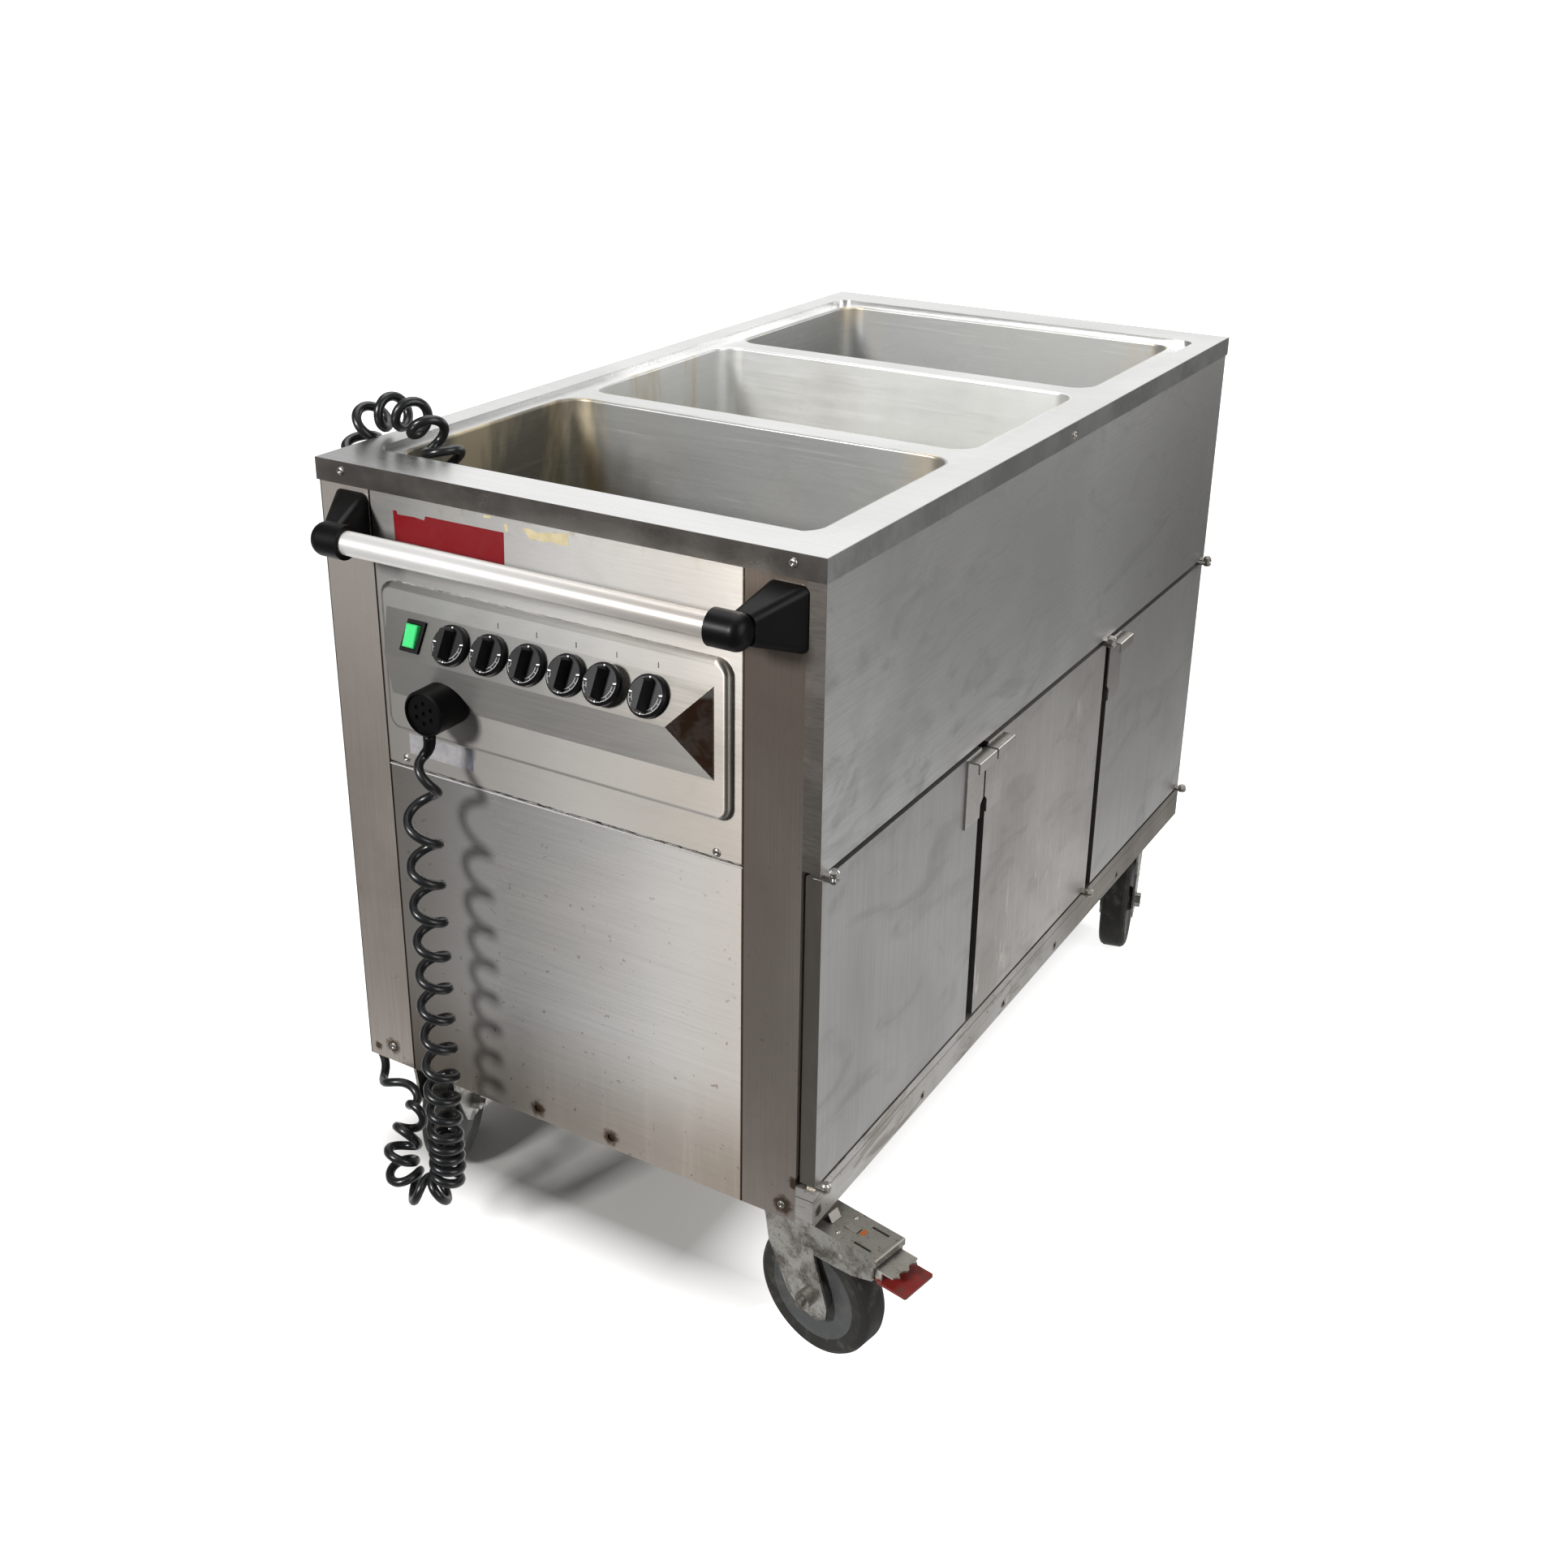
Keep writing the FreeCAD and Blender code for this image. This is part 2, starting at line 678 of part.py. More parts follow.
def bracket(side):
    # Moulded elbow from its base on the post to the socket of the bar
    post_mid = (carcass_left + bracket_inset + bracket_base_width / 2 if side < 0
                else carcass_right + door_standoff - bracket_base_width / 2)
    z = top - bar_drop
    y_axis = front_face - bar_offset

    def section(middle, half_x, half_z, y, corner):
        face = Part.Face(Part.makePolygon([V(middle - half_x, y, z - half_z), V(middle + half_x, y, z - half_z),
                                           V(middle + half_x, y, z + half_z), V(middle - half_x, y, z + half_z),
                                           V(middle - half_x, y, z - half_z)]))
        slab = face.extrude(V(0, sheet, 0))
        edges = [e for e in slab.Edges if abs(e.tangentAt(e.FirstParameter).y) > 0.9]
        slab = slab.makeFillet(corner, edges)
        near = min(slab.Faces, key=lambda f: f.CenterOfMass.y)
        return near.OuterWire

    r = bracket_end_radius
    inward = -side
    nose_mid = post_mid + inward * bracket_skew
    foot = section(post_mid, bracket_base_width / 2, bracket_base_height / 2, front_face - sheet, bracket_base_corner)
    neck = section(nose_mid, bracket_nose_width / 2, r - bracket_round / 2, y_axis + r / 2, bracket_base_corner)
    arm = Part.makeLoft([foot, neck], True, True)
    base = Part.Face(foot).extrude(V(0, sheet, 0))
    outer_end = nose_mid - inward * bracket_nose_width / 2
    length = bracket_reach - bracket_skew + bracket_nose_width / 2
    socket = rod(V(outer_end, y_axis, z), V(inward, 0, 0), r, length)
    end = [e for e in socket.Edges if abs(e.CenterOfMass.x - outer_end) < 0.01 * sheet]
    socket = socket.makeFillet(r - bracket_round, end)
    bore = rod(V(outer_end + inward * (length - bar_entry), y_axis, z), V(inward, 0, 0), bar_radius + bar_gap,
               bar_entry + cut_over)
    return [arm.fuse([base, socket]).cut(bore)]


def bar_end(side):
    post_mid = (carcass_left + bracket_inset + bracket_base_width / 2 if side < 0
                else carcass_right + door_standoff - bracket_base_width / 2)
    return post_mid - side * (bracket_reach - bar_entry)


def push_bar():
    y, z = front_face - bar_offset, top - bar_drop
    x0, x1 = bar_end(-1), bar_end(1)
    tube = rod(V(x0, y, z), V(1, 0, 0), bar_radius, x1 - x0)
    bore = rod(V(x0 - cut_over, y, z), V(1, 0, 0), bar_radius - bar_wall, x1 - x0 + 2 * cut_over)
    return [tube.cut(bore)]


def outlet_front():
    return front_face - pillow_rise - outlet_length


def cord_outlet():
    z = top - outlet_drop
    body = rod(V(outlet_x, front_face, z), out, outlet_radius, pillow_rise + outlet_length)
    front = outlet_front()
    rim = [e for e in body.Edges if abs(e.CenterOfMass.y - front) < 0.01 * sheet]
    body = body.makeChamfer(outlet_chamfer, rim)
    body = body.cut(relief())
    dish = rod(V(outlet_x, front + outlet_recess, z), out, outlet_radius - outlet_rim, outlet_recess + cut_over)
    body = body.cut(dish)
    for i in range(outlet_hole_count + 1):
        angle = 2 * math.pi * i / outlet_hole_count
        ring = outlet_hole_ring if i < outlet_hole_count else 0
        start = V(outlet_x + ring * math.sin(angle), front + outlet_recess + outlet_hole_depth, z + ring * math.cos(angle))
        body = body.cut(rod(start, out, outlet_hole_radius, outlet_hole_depth + outlet_recess + cut_over))
    notch = rod(V(outlet_x, front + exit_inset, z - outlet_radius - cut_over), V(0, 0, 1),
                cord_radius + cord_gap, cut_over + exit_inset)
    return [body.cut(notch)]


# Doors

def door_spans():
    first = -body_end
    return [(first + i * (door_width + door_gap), first + i * (door_width + door_gap) + door_width) for i in range(3)]


def hinge_y(i):
    y0, y1 = door_spans()[i]
    return y0 + pin_inset if i == 0 else y1 - pin_inset


def hinge_x():
    return right_face + pin_offset


def lug(i, z0, root):
    # Flat strap with a round eye
    y, x = hinge_y(i), hinge_x()
    half = lug_width / 2
    strap = box(root, x, y - half, y + half, z0, z0 + lug_thickness)
    eye = rod(V(x, y, z0), V(0, 0, 1), half, lug_thickness)
    hole = rod(V(x, y, z0 - cut_over), V(0, 0, 1), pin_radius + pin_clearance, lug_thickness + 2 * cut_over)
    return strap.fuse(eye).removeSplitter().cut(hole)


def hinge_lugs():
    made = []
    for i in range(3):
        made.append(lug(i, side_bottom - lug_thickness, right_face - lug_root))
        made.append(lug(i, skirt_top, right_face - lug_root))
    return made


def door(i):
    y0, y1 = door_spans()[i]
    x0, x1 = right_face - door_thickness, right_face
    outer = box(x0, x1, y0, y1, door_bottom, door_top)
    inner = box(x0 + door_sheet, x1 - door_sheet, y0 + door_sheet, y1 - door_sheet,
                door_bottom + door_sheet, door_top - door_sheet)
    window = box(x0 - cut_over, x0 + 2 * door_sheet, y0 + door_return, y1 - door_return,
                 door_bottom + door_return, door_top - door_return)
    shape = outer.cut(inner).cut(window)
    high = lug(i, door_top, right_face - lug_root)
    low = lug(i, door_bottom - lug_thickness, right_face - lug_root)
    return [shape.fuse([high, low])]


def door_pins(i):
    # Round-headed pins through the eyes of the frame and the door
    y, x = hinge_y(i), hinge_x()
    made = []
    for eye_low, eye_high in ((door_top, side_bottom), (skirt_top, door_bottom)):
        head_base = eye_high + pin_end_gap
        foot_base = eye_low - pin_end_gap
        shank = rod(V(x, y, foot_base - pin_foot_height), V(0, 0, 1), pin_radius,
                    head_base - foot_base + pin_foot_height + pin_head_height / 2)
        head = rod(V(x, y, head_base), V(0, 0, 1), pin_head_radius, pin_head_height)
        crown = [e for e in head.Edges if e.CenterOfMass.z > head_base + 0.9 * pin_head_height]
        head = head.makeChamfer(pin_head_height * pin_crown_share, crown)
        foot = rod(V(x, y, foot_base - pin_foot_height), V(0, 0, 1), pin_foot_radius, pin_foot_height)
        made.append(head.fuse([shank, foot]).removeSplitter())
    return made


def door_handle(i):
    # Pressed plate on the free edge with a grip folded out at its top
    y0, y1 = door_spans()[i]
    free, way = (y1, 1) if i == 0 else (y0, -1)
    x0 = right_face
    x1 = x0 + handle_sheet
    high = door_top - handle_drop
    edge = free + way * handle_overlap
    back = edge - way * handle_width
    step, chamfer = handle_step, handle_chamfer
    outline = [V(x0, edge, high), V(x0, back, high), V(x0, back, high - handle_height),
               V(x0, edge - way * chamfer, high - handle_height),
               V(x0, edge - way * chamfer, high - step - chamfer), V(x0, edge, high - step)]
    plate = prism(outline, V(handle_sheet, 0, 0))
    a, b = min(edge, back), max(edge, back)
    reach = x0 + handle_reach
    flange = box(x0, reach, a, b, high - handle_sheet, high)
    lip = box(reach - handle_sheet, reach, a, b, high - handle_lip, high)
    shape = plate.fuse([flange, lip]).removeSplitter()
    fold_edge = [e for e in shape.Edges if abs(e.tangentAt(e.FirstParameter).y) > 0.9
                 and abs(e.CenterOfMass.x - reach) < 0.01 * handle_sheet
                 and abs(e.CenterOfMass.z - high) < 0.01 * handle_sheet]
    return [shape.makeFillet(handle_sheet * grip_round_share, fold_edge)]


# Castors

def castor_place(key):
    x = carcass_left - sheet + swivel_inset if key[1] == "l" else right_face - swivel_inset
    y = front_face + swivel_inset if key[0] == "f" else rear_face - swivel_inset
    turn = FreeCAD.Rotation(V(0, 0, 1), castor_angles[key])
    return FreeCAD.Placement(V(x, y, 0), turn)


def castor_plates():
    made = []
    base = castor_height - plate_thickness
    foot = base - race_height
    for key in castor_angles:
        plate = rounded_plate(-plate_width / 2, plate_width / 2, -plate_length / 2, plate_length / 2,
                              base, castor_height, plate_corner)
        race = Part.makeCone(race_foot_radius, race_radius, race_height, V(0, 0, foot), V(0, 0, 1))
        crown_low = foot - race_gap - crown_cup_height - crown_thickness
        pin = rod(V(0, 0, crown_low - kingpin_gap), V(0, 0, 1), kingpin_radius, foot - crown_low + kingpin_gap)
        head = rod(V(0, 0, crown_low - kingpin_gap - kingpin_head), V(0, 0, 1), kingpin_head_radius, kingpin_head)
        solid = plate.fuse([race, pin, head])
        place = castor_place(key)
        made.append(moved(solid, FreeCAD.Placement(place.Base, FreeCAD.Rotation())))
    return made


def crown_top():
    return castor_height - plate_thickness - race_height - race_gap - crown_cup_height


def braked(key):
    return key in ("fr", "rl")


def leg_outline(with_brake):
    # Outline of a fork leg in castor lengths, reach from the swivel axis and height
    high = crown_top()
    arm = trail + arm_start
    front = [(crown_reach * u, high - leg_drop * w) for u, w in crown_shares]
    front += [(trail + leg_eye * u, wheel_radius + leg_eye * w) for u, w in eye_shares]
    if with_brake:
        rear = [(arm + arm_length * u, high - arm_depth * w) for u, w in arm_shares]
        rear += [(arm + arm_length, high - brake_plate_sheet), (arm, high - brake_plate_sheet), (arm, high)]
    else:
        rear = [(arm + heel_step, high - heel_drop), (arm, high)]
    return front + rear


def fork(key):
    points = leg_outline(braked(key))
    inner, outer = fork_inner, fork_inner + fork_sheet
    legs = []
    for y in (-outer, inner):
        legs.append(prism([V(u, y, z) for u, z in points], V(0, fork_sheet, 0)))
    high = crown_top()
    us = [u for u, z in points if z == high]
    web = box(min(us), max(us), -outer, outer, high - crown_thickness, high)
    cup = rod(V(0, 0, high - crown_thickness), V(0, 0, 1), crown_cup_radius, crown_thickness + crown_cup_height)
    shape = web.fuse(legs + [cup])
    shape = shape.cut(rod(V(0, 0, 0), V(0, 0, 1), kingpin_radius + axle_clearance, castor_height))
    hole = rod(V(trail, -outer - cut_over, wheel_radius), V(0, 1, 0), axle_radius + axle_hole_gap,
               2 * (outer + cut_over))
    shape = shape.cut(hole)
    if braked(key):
        shape = shape.cut(rod(V(pedal_pivot_reach, -outer - cut_over, pedal_pivot_height), V(0, 1, 0),
                              pedal_pivot_radius + axle_clearance, 2 * (outer + cut_over)))
    place = castor_place(key)
    return [moved(shape, place), moved(axle_bolt(), place)]


def axle_bolt():
    # Bolt with a hexagon head on one side and a collar and stub on the other
    outer = fork_inner + fork_sheet
    shaft = rod(V(trail, -outer, wheel_radius), V(0, 1, 0), axle_radius, 2 * outer)
    radius = axle_head_flats / 2 / math.cos(math.pi / 6)
    hexagon = [V(trail + radius * math.cos(math.pi / 3 * k), outer, wheel_radius + radius * math.sin(math.pi / 3 * k))
               for k in range(6)]
    head = prism(hexagon, V(0, axle_head, 0))
    collar = rod(V(trail, -outer - axle_collar, wheel_radius), V(0, 1, 0), axle_collar_radius, axle_collar)
    stub = rod(V(trail, -outer - axle_collar - axle_stub, wheel_radius), V(0, 1, 0), axle_stub_radius, axle_stub)
    return shaft.fuse([head, collar, stub])


def spun(outline, key):
    points = [V(trail + r, s, wheel_radius) for r, s in outline]
    face = Part.Face(Part.makePolygon(points + [points[0]]))
    shape = face.revolve(V(trail, 0, wheel_radius), V(0, 1, 0), 360)
    return moved(shape, castor_place(key))


def tyre(key):
    half = tyre_width / 2
    r, s, c = wheel_radius, tyre_shoulder, tyre_chamfer
    return [spun([(hub_radius, -half + tyre_side), (r - s, -half), (r - c, -half + c), (r, -half + s),
                  (r, half - s), (r - c, half - c), (r - s, half), (hub_radius, half - tyre_side)], key)]


def hub(key):
    half = tyre_width / 2 - tyre_side
    face = half - hub_face
    boss = fork_inner - hub_gap
    bore = axle_radius + axle_clearance
    return [spun([(bore, -boss), (hub_boss_radius, -boss), (hub_boss_radius + hub_dish, -face + hub_dish),
                  (hub_radius - hub_dish, -face), (hub_radius, -half), (hub_radius, half),
                  (hub_radius - hub_dish, face), (hub_boss_radius + hub_dish, face - hub_dish),
                  (hub_boss_radius, boss), (bore, boss)], key)]


def brake_plate(key):
    high = crown_top()
    outer = fork_inner + fork_sheet
    start = trail + arm_start
    end = start + arm_length
    sheet_low = high - brake_plate_sheet
    plate = box(start, end, -outer, outer, sheet_low, high)
    flange = box(end, end + brake_plate_sheet, -outer, outer, high - brake_flange, high)
    shape = plate.fuse(flange).removeSplitter()
    for y in (-outer * brake_slot_share, outer * brake_slot_share):
        slot = box(end - brake_slot_far, end - brake_slot_near, y - brake_slot_half, y + brake_slot_half,
                   sheet_low - cut_over, high + cut_over)
        shape = shape.cut(slot)
    return [moved(shape, castor_place(key))]


def pedal(key):
    # Lever between the fork arms with a wide pad and a scalloped lug over it
    inner = fork_inner - pedal_side_gap
    cheek_low = pedal_pad_level - pedal_pad_sheet
    parts = []
    for y in (-inner, inner - pedal_cheek):
        points = [V(pedal_nose_start, y, cheek_low), V(pedal_pad_start + cut_over, y, cheek_low),
                  V(pedal_pad_start + cut_over, y, pedal_lug_level - pedal_lug_sheet),
                  V(pedal_nose_start, y, pedal_lug_level - pedal_lug_sheet)]
        parts.append(prism(points, V(0, pedal_cheek, 0)))
    pad = rounded_plate(pedal_pad_start, pedal_pad_end, -pedal_pad_half, pedal_pad_half, cheek_low,
                        pedal_pad_level, pedal_cheek)
    lug_start = pedal_pivot_reach + pedal_barrel_radius + cut_over
    lug_plate = box(lug_start, pedal_lug_end, -pedal_lug_half, pedal_lug_half,
                    pedal_lug_level - pedal_lug_sheet, pedal_lug_level)
    for share in scallop_shares:
        lug_plate = lug_plate.cut(rod(V(pedal_lug_end + pedal_scallop * scallop_lead_share, pedal_lug_half * share,
                                        pedal_lug_level - cut_over),
                                      V(0, 0, 1), pedal_scallop, 2 * cut_over))
    barrel = rod(V(pedal_pivot_reach, -inner, pedal_pivot_height), V(0, 1, 0), pedal_barrel_radius, 2 * inner)
    outer = fork_inner + fork_sheet
    pin = rod(V(pedal_pivot_reach, -outer, pedal_pivot_height), V(0, 1, 0), pedal_pivot_radius, 2 * outer)
    shape = parts[0].fuse([parts[1], pad, lug_plate, barrel, pin])
    return [moved(shape, castor_place(key))]


# Cord and its plug

def plug_axis():
    return recess_level - well_depth + plug_radius + seam


def cord_plug():
    # Round plug with a tapered neck, a grip collar and pins inside its skirt
    start = V(plug_x, front_face + plug_start, plug_axis())
    r, n, c = plug_radius, plug_neck, plug_collar
    outline = [V(0, 0, 0), V(n, 0, 0), V(r - c, plug_neck_length, 0), V(r - c, plug_length - plug_skirt - c, 0),
               V(r, plug_length - plug_skirt - c, 0), V(r, plug_length, 0), V(0, plug_length, 0)]
    face = Part.Face(Part.makePolygon(outline + [outline[0]]))
    shape = face.revolve(V(0, 0, 0), V(0, 1, 0), 360)
    pocket = rod(V(0, plug_length - plug_skirt, 0), V(0, 1, 0), r - plug_wall, plug_skirt + cut_over)
    shape = shape.cut(pocket)
    pins = []
    for i in range(plug_pin_count):
        angle = 2 * math.pi * i / plug_pin_count
        base = V(plug_pin_ring * math.sin(angle), plug_length - plug_skirt - plug_wall, plug_pin_ring * math.cos(angle))
        pins.append(rod(base, V(0, 1, 0), plug_pin_radius, plug_skirt))
    return [moved(shape.fuse(pins), FreeCAD.Placement(start, FreeCAD.Rotation()))]


# Curly cord from the outlet down, round the front left corner and up into the front well
# Each row has x, distance in front of the front face, height, curl radius and pitch
cord_route = [
    (-135.0, 45.0, 670.0, 0.0, 64.0), (-135.0, 45.0, 656.0, 0.0, 64.0), (-135.0, 45.0, 650.0, 0.0, 64.0),
    (-136.0, 48.0, 636.0, 5.0, 64.0), (-137.0, 54.0, 620.0, 12.0, 64.0), (-138.0, 58.0, 600.0, 16.2, 72.0),
    (-139.0, 60.0, 560.0, 16.2, 62.0), (-139.0, 60.0, 515.0, 16.2, 47.0), (-139.0, 60.0, 430.0, 16.2, 44.0),
    (-139.0, 60.0, 370.0, 16.2, 38.0), (-139.0, 60.0, 300.0, 16.2, 40.0), (-139.0, 60.0, 250.0, 16.2, 36.0),
    (-139.0, 60.0, 225.0, 16.2, 27.0), (-139.0, 60.0, 180.0, 16.2, 26.0), (-139.0, 60.0, 166.0, 16.2, 15.0),
    (-139.0, 60.0, 124.0, 16.2, 12.9), (-141.0, 61.0, 105.0, 16.2, 23.0), (-152.0, 65.0, 89.0, 16.2, 32.0),
    (-174.0, 71.0, 86.0, 16.2, 32.0), (-191.0, 76.0, 100.0, 16.2, 28.0), (-196.0, 77.0, 119.0, 16.2, 22.0),
    (-198.0, 66.0, 140.0, 16.2, 25.0), (-203.0, 44.0, 155.0, 13.0, 30.0), (-214.0, 20.0, 164.0, 7.0, 50.0),
    (-236.0, 13.5, 165.0, 6.0, 70.0), (-262.0, 12.5, 166.0, 6.0, 76.0), (-288.0, 3.0, 166.0, 6.0, 76.0),
    (-309.0, -18.0, 168.0, 6.0, 76.0), (-321.0, -46.0, 178.0, 6.0, 80.0), (-329.0, -72.0, 210.0, 9.0, 90.0),
    (-331.0, -84.0, 270.0, 12.0, 105.0), (-331.0, -84.0, 400.0, 12.0, 120.0), (-331.0, -84.0, 600.0, 12.0, 120.0),
    (-331.0, -84.0, 760.0, 13.0, 100.0), (-331.0, -85.0, 820.0, 15.0, 72.0), (-332.0, -86.0, 870.0, 16.2, 50.0),
    (-329.0, -92.0, 920.0, 16.2, 34.0), (-311.0, -97.0, 944.0, 16.2, 30.0), (-281.0, -103.0, 950.0, 16.2, 29.0),
    (-249.0, -98.0, 946.0, 16.2, 30.0), (-222.0, -92.0, 927.0, 16.2, 32.0), (-205.0, -98.0, 897.0, 16.2, 36.0),
    (-196.0, -102.0, 855.0, 16.2, 40.0), (-190.0, -108.0, 812.0, 16.2, 44.0), (-188.0, -126.0, 774.0, 14.0, 50.0),
    (-188.0, -152.0, 749.0, 8.0, 60.0), (-188.0, -166.0, 742.5, 2.0, 60.0), (-188.0, -175.0, 740.5, 0.0, 60.0),
    (-188.0, -178.0, 740.5, 0.0, 60.0), (-188.0, -190.0, 740.5, 0.0, 60.0),
]


def eased(a, b, t):
    return a + (b - a) * (3 * t * t - 2 * t * t * t)


def cord_middle():
    # Close points on the middle line of the curls, with the curl's radius and its share of a turn to the next point
    points = [V(x, front_face - ahead, z) for x, ahead, z, radius, pitch in cord_route]
    runs = [(b - a).Length for a, b in zip(points, points[1:])]
    slopes = [(points[1] - points[0]) * (1 / runs[0])]
    for i in range(1, len(points) - 1):
        before, after = (points[i] - points[i - 1]) * (1 / runs[i - 1]), (points[i + 1] - points[i]) * (1 / runs[i])
        slopes.append((before * runs[i] + after * runs[i - 1]) * (1 / (runs[i - 1] + runs[i])))
    slopes.append((points[-1] - points[-2]) * (1 / runs[-1]))
    made = []
    for i, run in enumerate(runs):
        count = max(1, round(run / cord_step))
        for k in range(count + (i == len(runs) - 1)):
            t = k / count
            place = (points[i] * (2 * t**3 - 3 * t**2 + 1) + slopes[i] * (run * (t**3 - 2 * t**2 + t))
                     + points[i + 1] * (3 * t**2 - 2 * t**3) + slopes[i + 1] * (run * (t**3 - t**2)))
            density = eased(1 / cord_route[i][4], 1 / cord_route[i + 1][4], t)
            made.append((place, eased(cord_route[i][3], cord_route[i + 1][3], t), density * run / count))
    return made


def cord_line():
    # The cord's own line, its curls turned round the middle line, and the places of its quarter turns
    middle = cord_middle()
    count = len(middle)
    side = V(1, 0, 0)
    angle = math.radians(curl_phase)
    line, quarters, passed = [], [0], 0.0
    for i, (place, radius, share) in enumerate(middle):
        ahead = (middle[min(i + 1, count - 1)][0] - middle[max(i - 1, 0)][0]).normalize()
        side = (side - ahead * side.dot(ahead)).normalize()
        line.append(place + (side * math.cos(angle) + side.cross(ahead) * math.sin(angle)) * radius)
        if i + 1 < count:
            turn = 2 * math.pi * share
            angle += turn
            passed += turn
            if passed >= math.pi / 2:
                quarters.append(i + 1)
                passed = 0.0
    if quarters[-1] > count - 1 - cord_end / cord_step:
        quarters.pop()
    quarters.append(count - 1)
    return line, quarters, angle


def least_gap(line):
    # Least distance between two stretches of the cord's line, less its thickness
    cell = 4 * cord_radius
    spots, run = [(line[0], 0.0)], 0.0
    for last, place in zip(line, line[1:]):
        run += (place - last).Length
        if run - spots[-1][1] > cord_measure:
            spots.append((place, run))
    cells = {}
    for place, run in spots:
        cells.setdefault((place.x // cell, place.y // cell, place.z // cell), []).append((place, run))
    least = cell
    for (a, b, c), inside in cells.items():
        near = [spot for i in (-1, 0, 1) for j in (-1, 0, 1) for k in (-1, 0, 1)
                for spot in cells.get((a + i, b + j, c + k), [])]
        for place, run in inside:
            for other, there in near:
                if there - run > 1.5 * cell:
                    least = min(least, (other - place).Length)
    return least - 2 * cord_radius


def arc_edge(start, way, end):
    # Arc, or line, that leaves start in the given direction
    chord = end - start
    across = chord - way * chord.dot(way)
    if across.Length < 0.0001 * chord.Length:
        return Part.LineSegment(start, end).toShape()
    across.normalize()
    centre = start + across * (chord.dot(chord) / (2 * chord.dot(across)))
    middle = (start - centre + end - centre).normalize()
    return Part.Arc(start, centre + middle * (start - centre).Length, end).toShape()


def biarc(start, way_in, end, way_out):
    chord = end - start
    bend = 2 * (1 - way_in.dot(way_out))
    if bend < 1e-9:
        return [Part.LineSegment(start, end).toShape()]
    pull = chord.dot(way_in + way_out)
    reach = (math.sqrt(pull * pull + bend * chord.dot(chord)) - pull) / bend
    joint = (start + way_in * reach + end - way_out * reach) * 0.5
    return [arc_edge(start, way_in, joint), arc_edge(end, way_out * -1, joint)]


def spiral_cord():
    line, quarters, angle = cord_line()
    edges = []
    for a, b in zip(quarters, quarters[1:]):
        way_in = (line[a + 1] - line[max(a - 1, 0)]).normalize()
        way_out = (line[min(b + 1, len(line) - 1)] - line[b - 1]).normalize()
        edges += biarc(line[a], way_in, line[b], way_out)
    wire = Part.Wire(edges)
    ring = [line[0] + V(cord_radius * math.cos(2 * math.pi * k / cord_sides),
                        cord_radius * math.sin(2 * math.pi * k / cord_sides), 0) for k in range(cord_sides)]
    pipe = Part.BRepOffsetAPI.MakePipeShell(wire)
    pipe.add(Part.makePolygon(ring + [ring[0]]), False, False)
    pipe.build()
    pipe.makeSolid()
    print("cord curls", round(angle / (2 * math.pi), 1), "length", round(wire.Length),
          "least gap", round(least_gap(line), 2))
    return [pipe.shape()]


cord_nodes = ("spiral_cord", "cord_plug")


def all_nodes():
    nodes = {
        "base_channels": base_channels(), "cupboard_floor": cupboard_floor(), "side_skirt": side_skirt(),
        "front_posts": front_posts(), "rear_posts": rear_posts(), "side_panel_left": side_panel_left(),
        "side_panel_right": side_panel_right(), "rear_panel": rear_panel(),
        "lower_front_panel": lower_front_panel(), "control_panel": control_panel(),
        "cupboard_ceiling": cupboard_ceiling(), "cupboard_partitions": cupboard_partitions(),
        "top_deck": top_deck(), "well_heaters": well_heaters(), "heat_regulators": heat_regulators(),
        "rocker_bezel": rocker_bezel(), "rocker_button": rocker_button(), "push_bar": push_bar(),
        "push_bar_bracket_left": bracket(-1), "push_bar_bracket_right": bracket(1),
        "cord_outlet": cord_outlet(), "spiral_cord": spiral_cord(), "cord_plug": cord_plug(),
        "hinge_lugs": hinge_lugs(), "castor_plates": castor_plates(),
    }
    for name, y in zip(("front", "middle", "rear"), well_centres()):
        nodes["well_" + name] = well(y)
    for i, name in enumerate(("front", "middle", "rear")):
        nodes["door_" + name] = door(i)
        nodes["door_%s_handle" % name] = door_handle(i)
        nodes["door_%s_pins" % name] = door_pins(i)
    for i in range(knob_count):
        nodes["knob_%d" % (i + 1)] = knob(i)
    for key in castor_angles:
        nodes["castor_%s_fork" % key] = fork(key)
        nodes["castor_%s_tyre" % key] = tyre(key)
        nodes["castor_%s_hub" % key] = hub(key)
        if braked(key):
            nodes["castor_%s_brake_plate" % key] = brake_plate(key)
            nodes["castor_%s_pedal" % key] = pedal(key)
    return nodes


def main():
    nodes = all_nodes()
    total = FreeCAD.BoundBox()
    for name, solids in nodes.items():
        if name not in cord_nodes:
            for solid in solids:
                total.add(solid.BoundBox)
    shift = V(-(total.XMin + total.XMax) / 2, -(total.YMin + total.YMax) / 2, 0)
    print("shift", round(shift.x, 4), round(shift.y, 4), "size", round(total.XLength, 2),
          round(total.YLength, 2), round(total.ZLength, 2), "low", round(total.ZMin, 4))
    for name, solids in nodes.items():
        shapes = []
        for solid in solids:
            for piece in solid.Solids:
                piece = piece.copy()
                piece.translate(shift)
                shapes.append(piece)
                if not piece.isValid():
                    print("invalid", name)
        shape = shapes[0] if len(shapes) == 1 else Part.makeCompound(shapes)
        shape.exportStep("parts/%s.step" % name)
        print(name, len(shapes))


main()
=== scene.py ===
import math

import bmesh
import bpy
from mathutils import Matrix, Vector


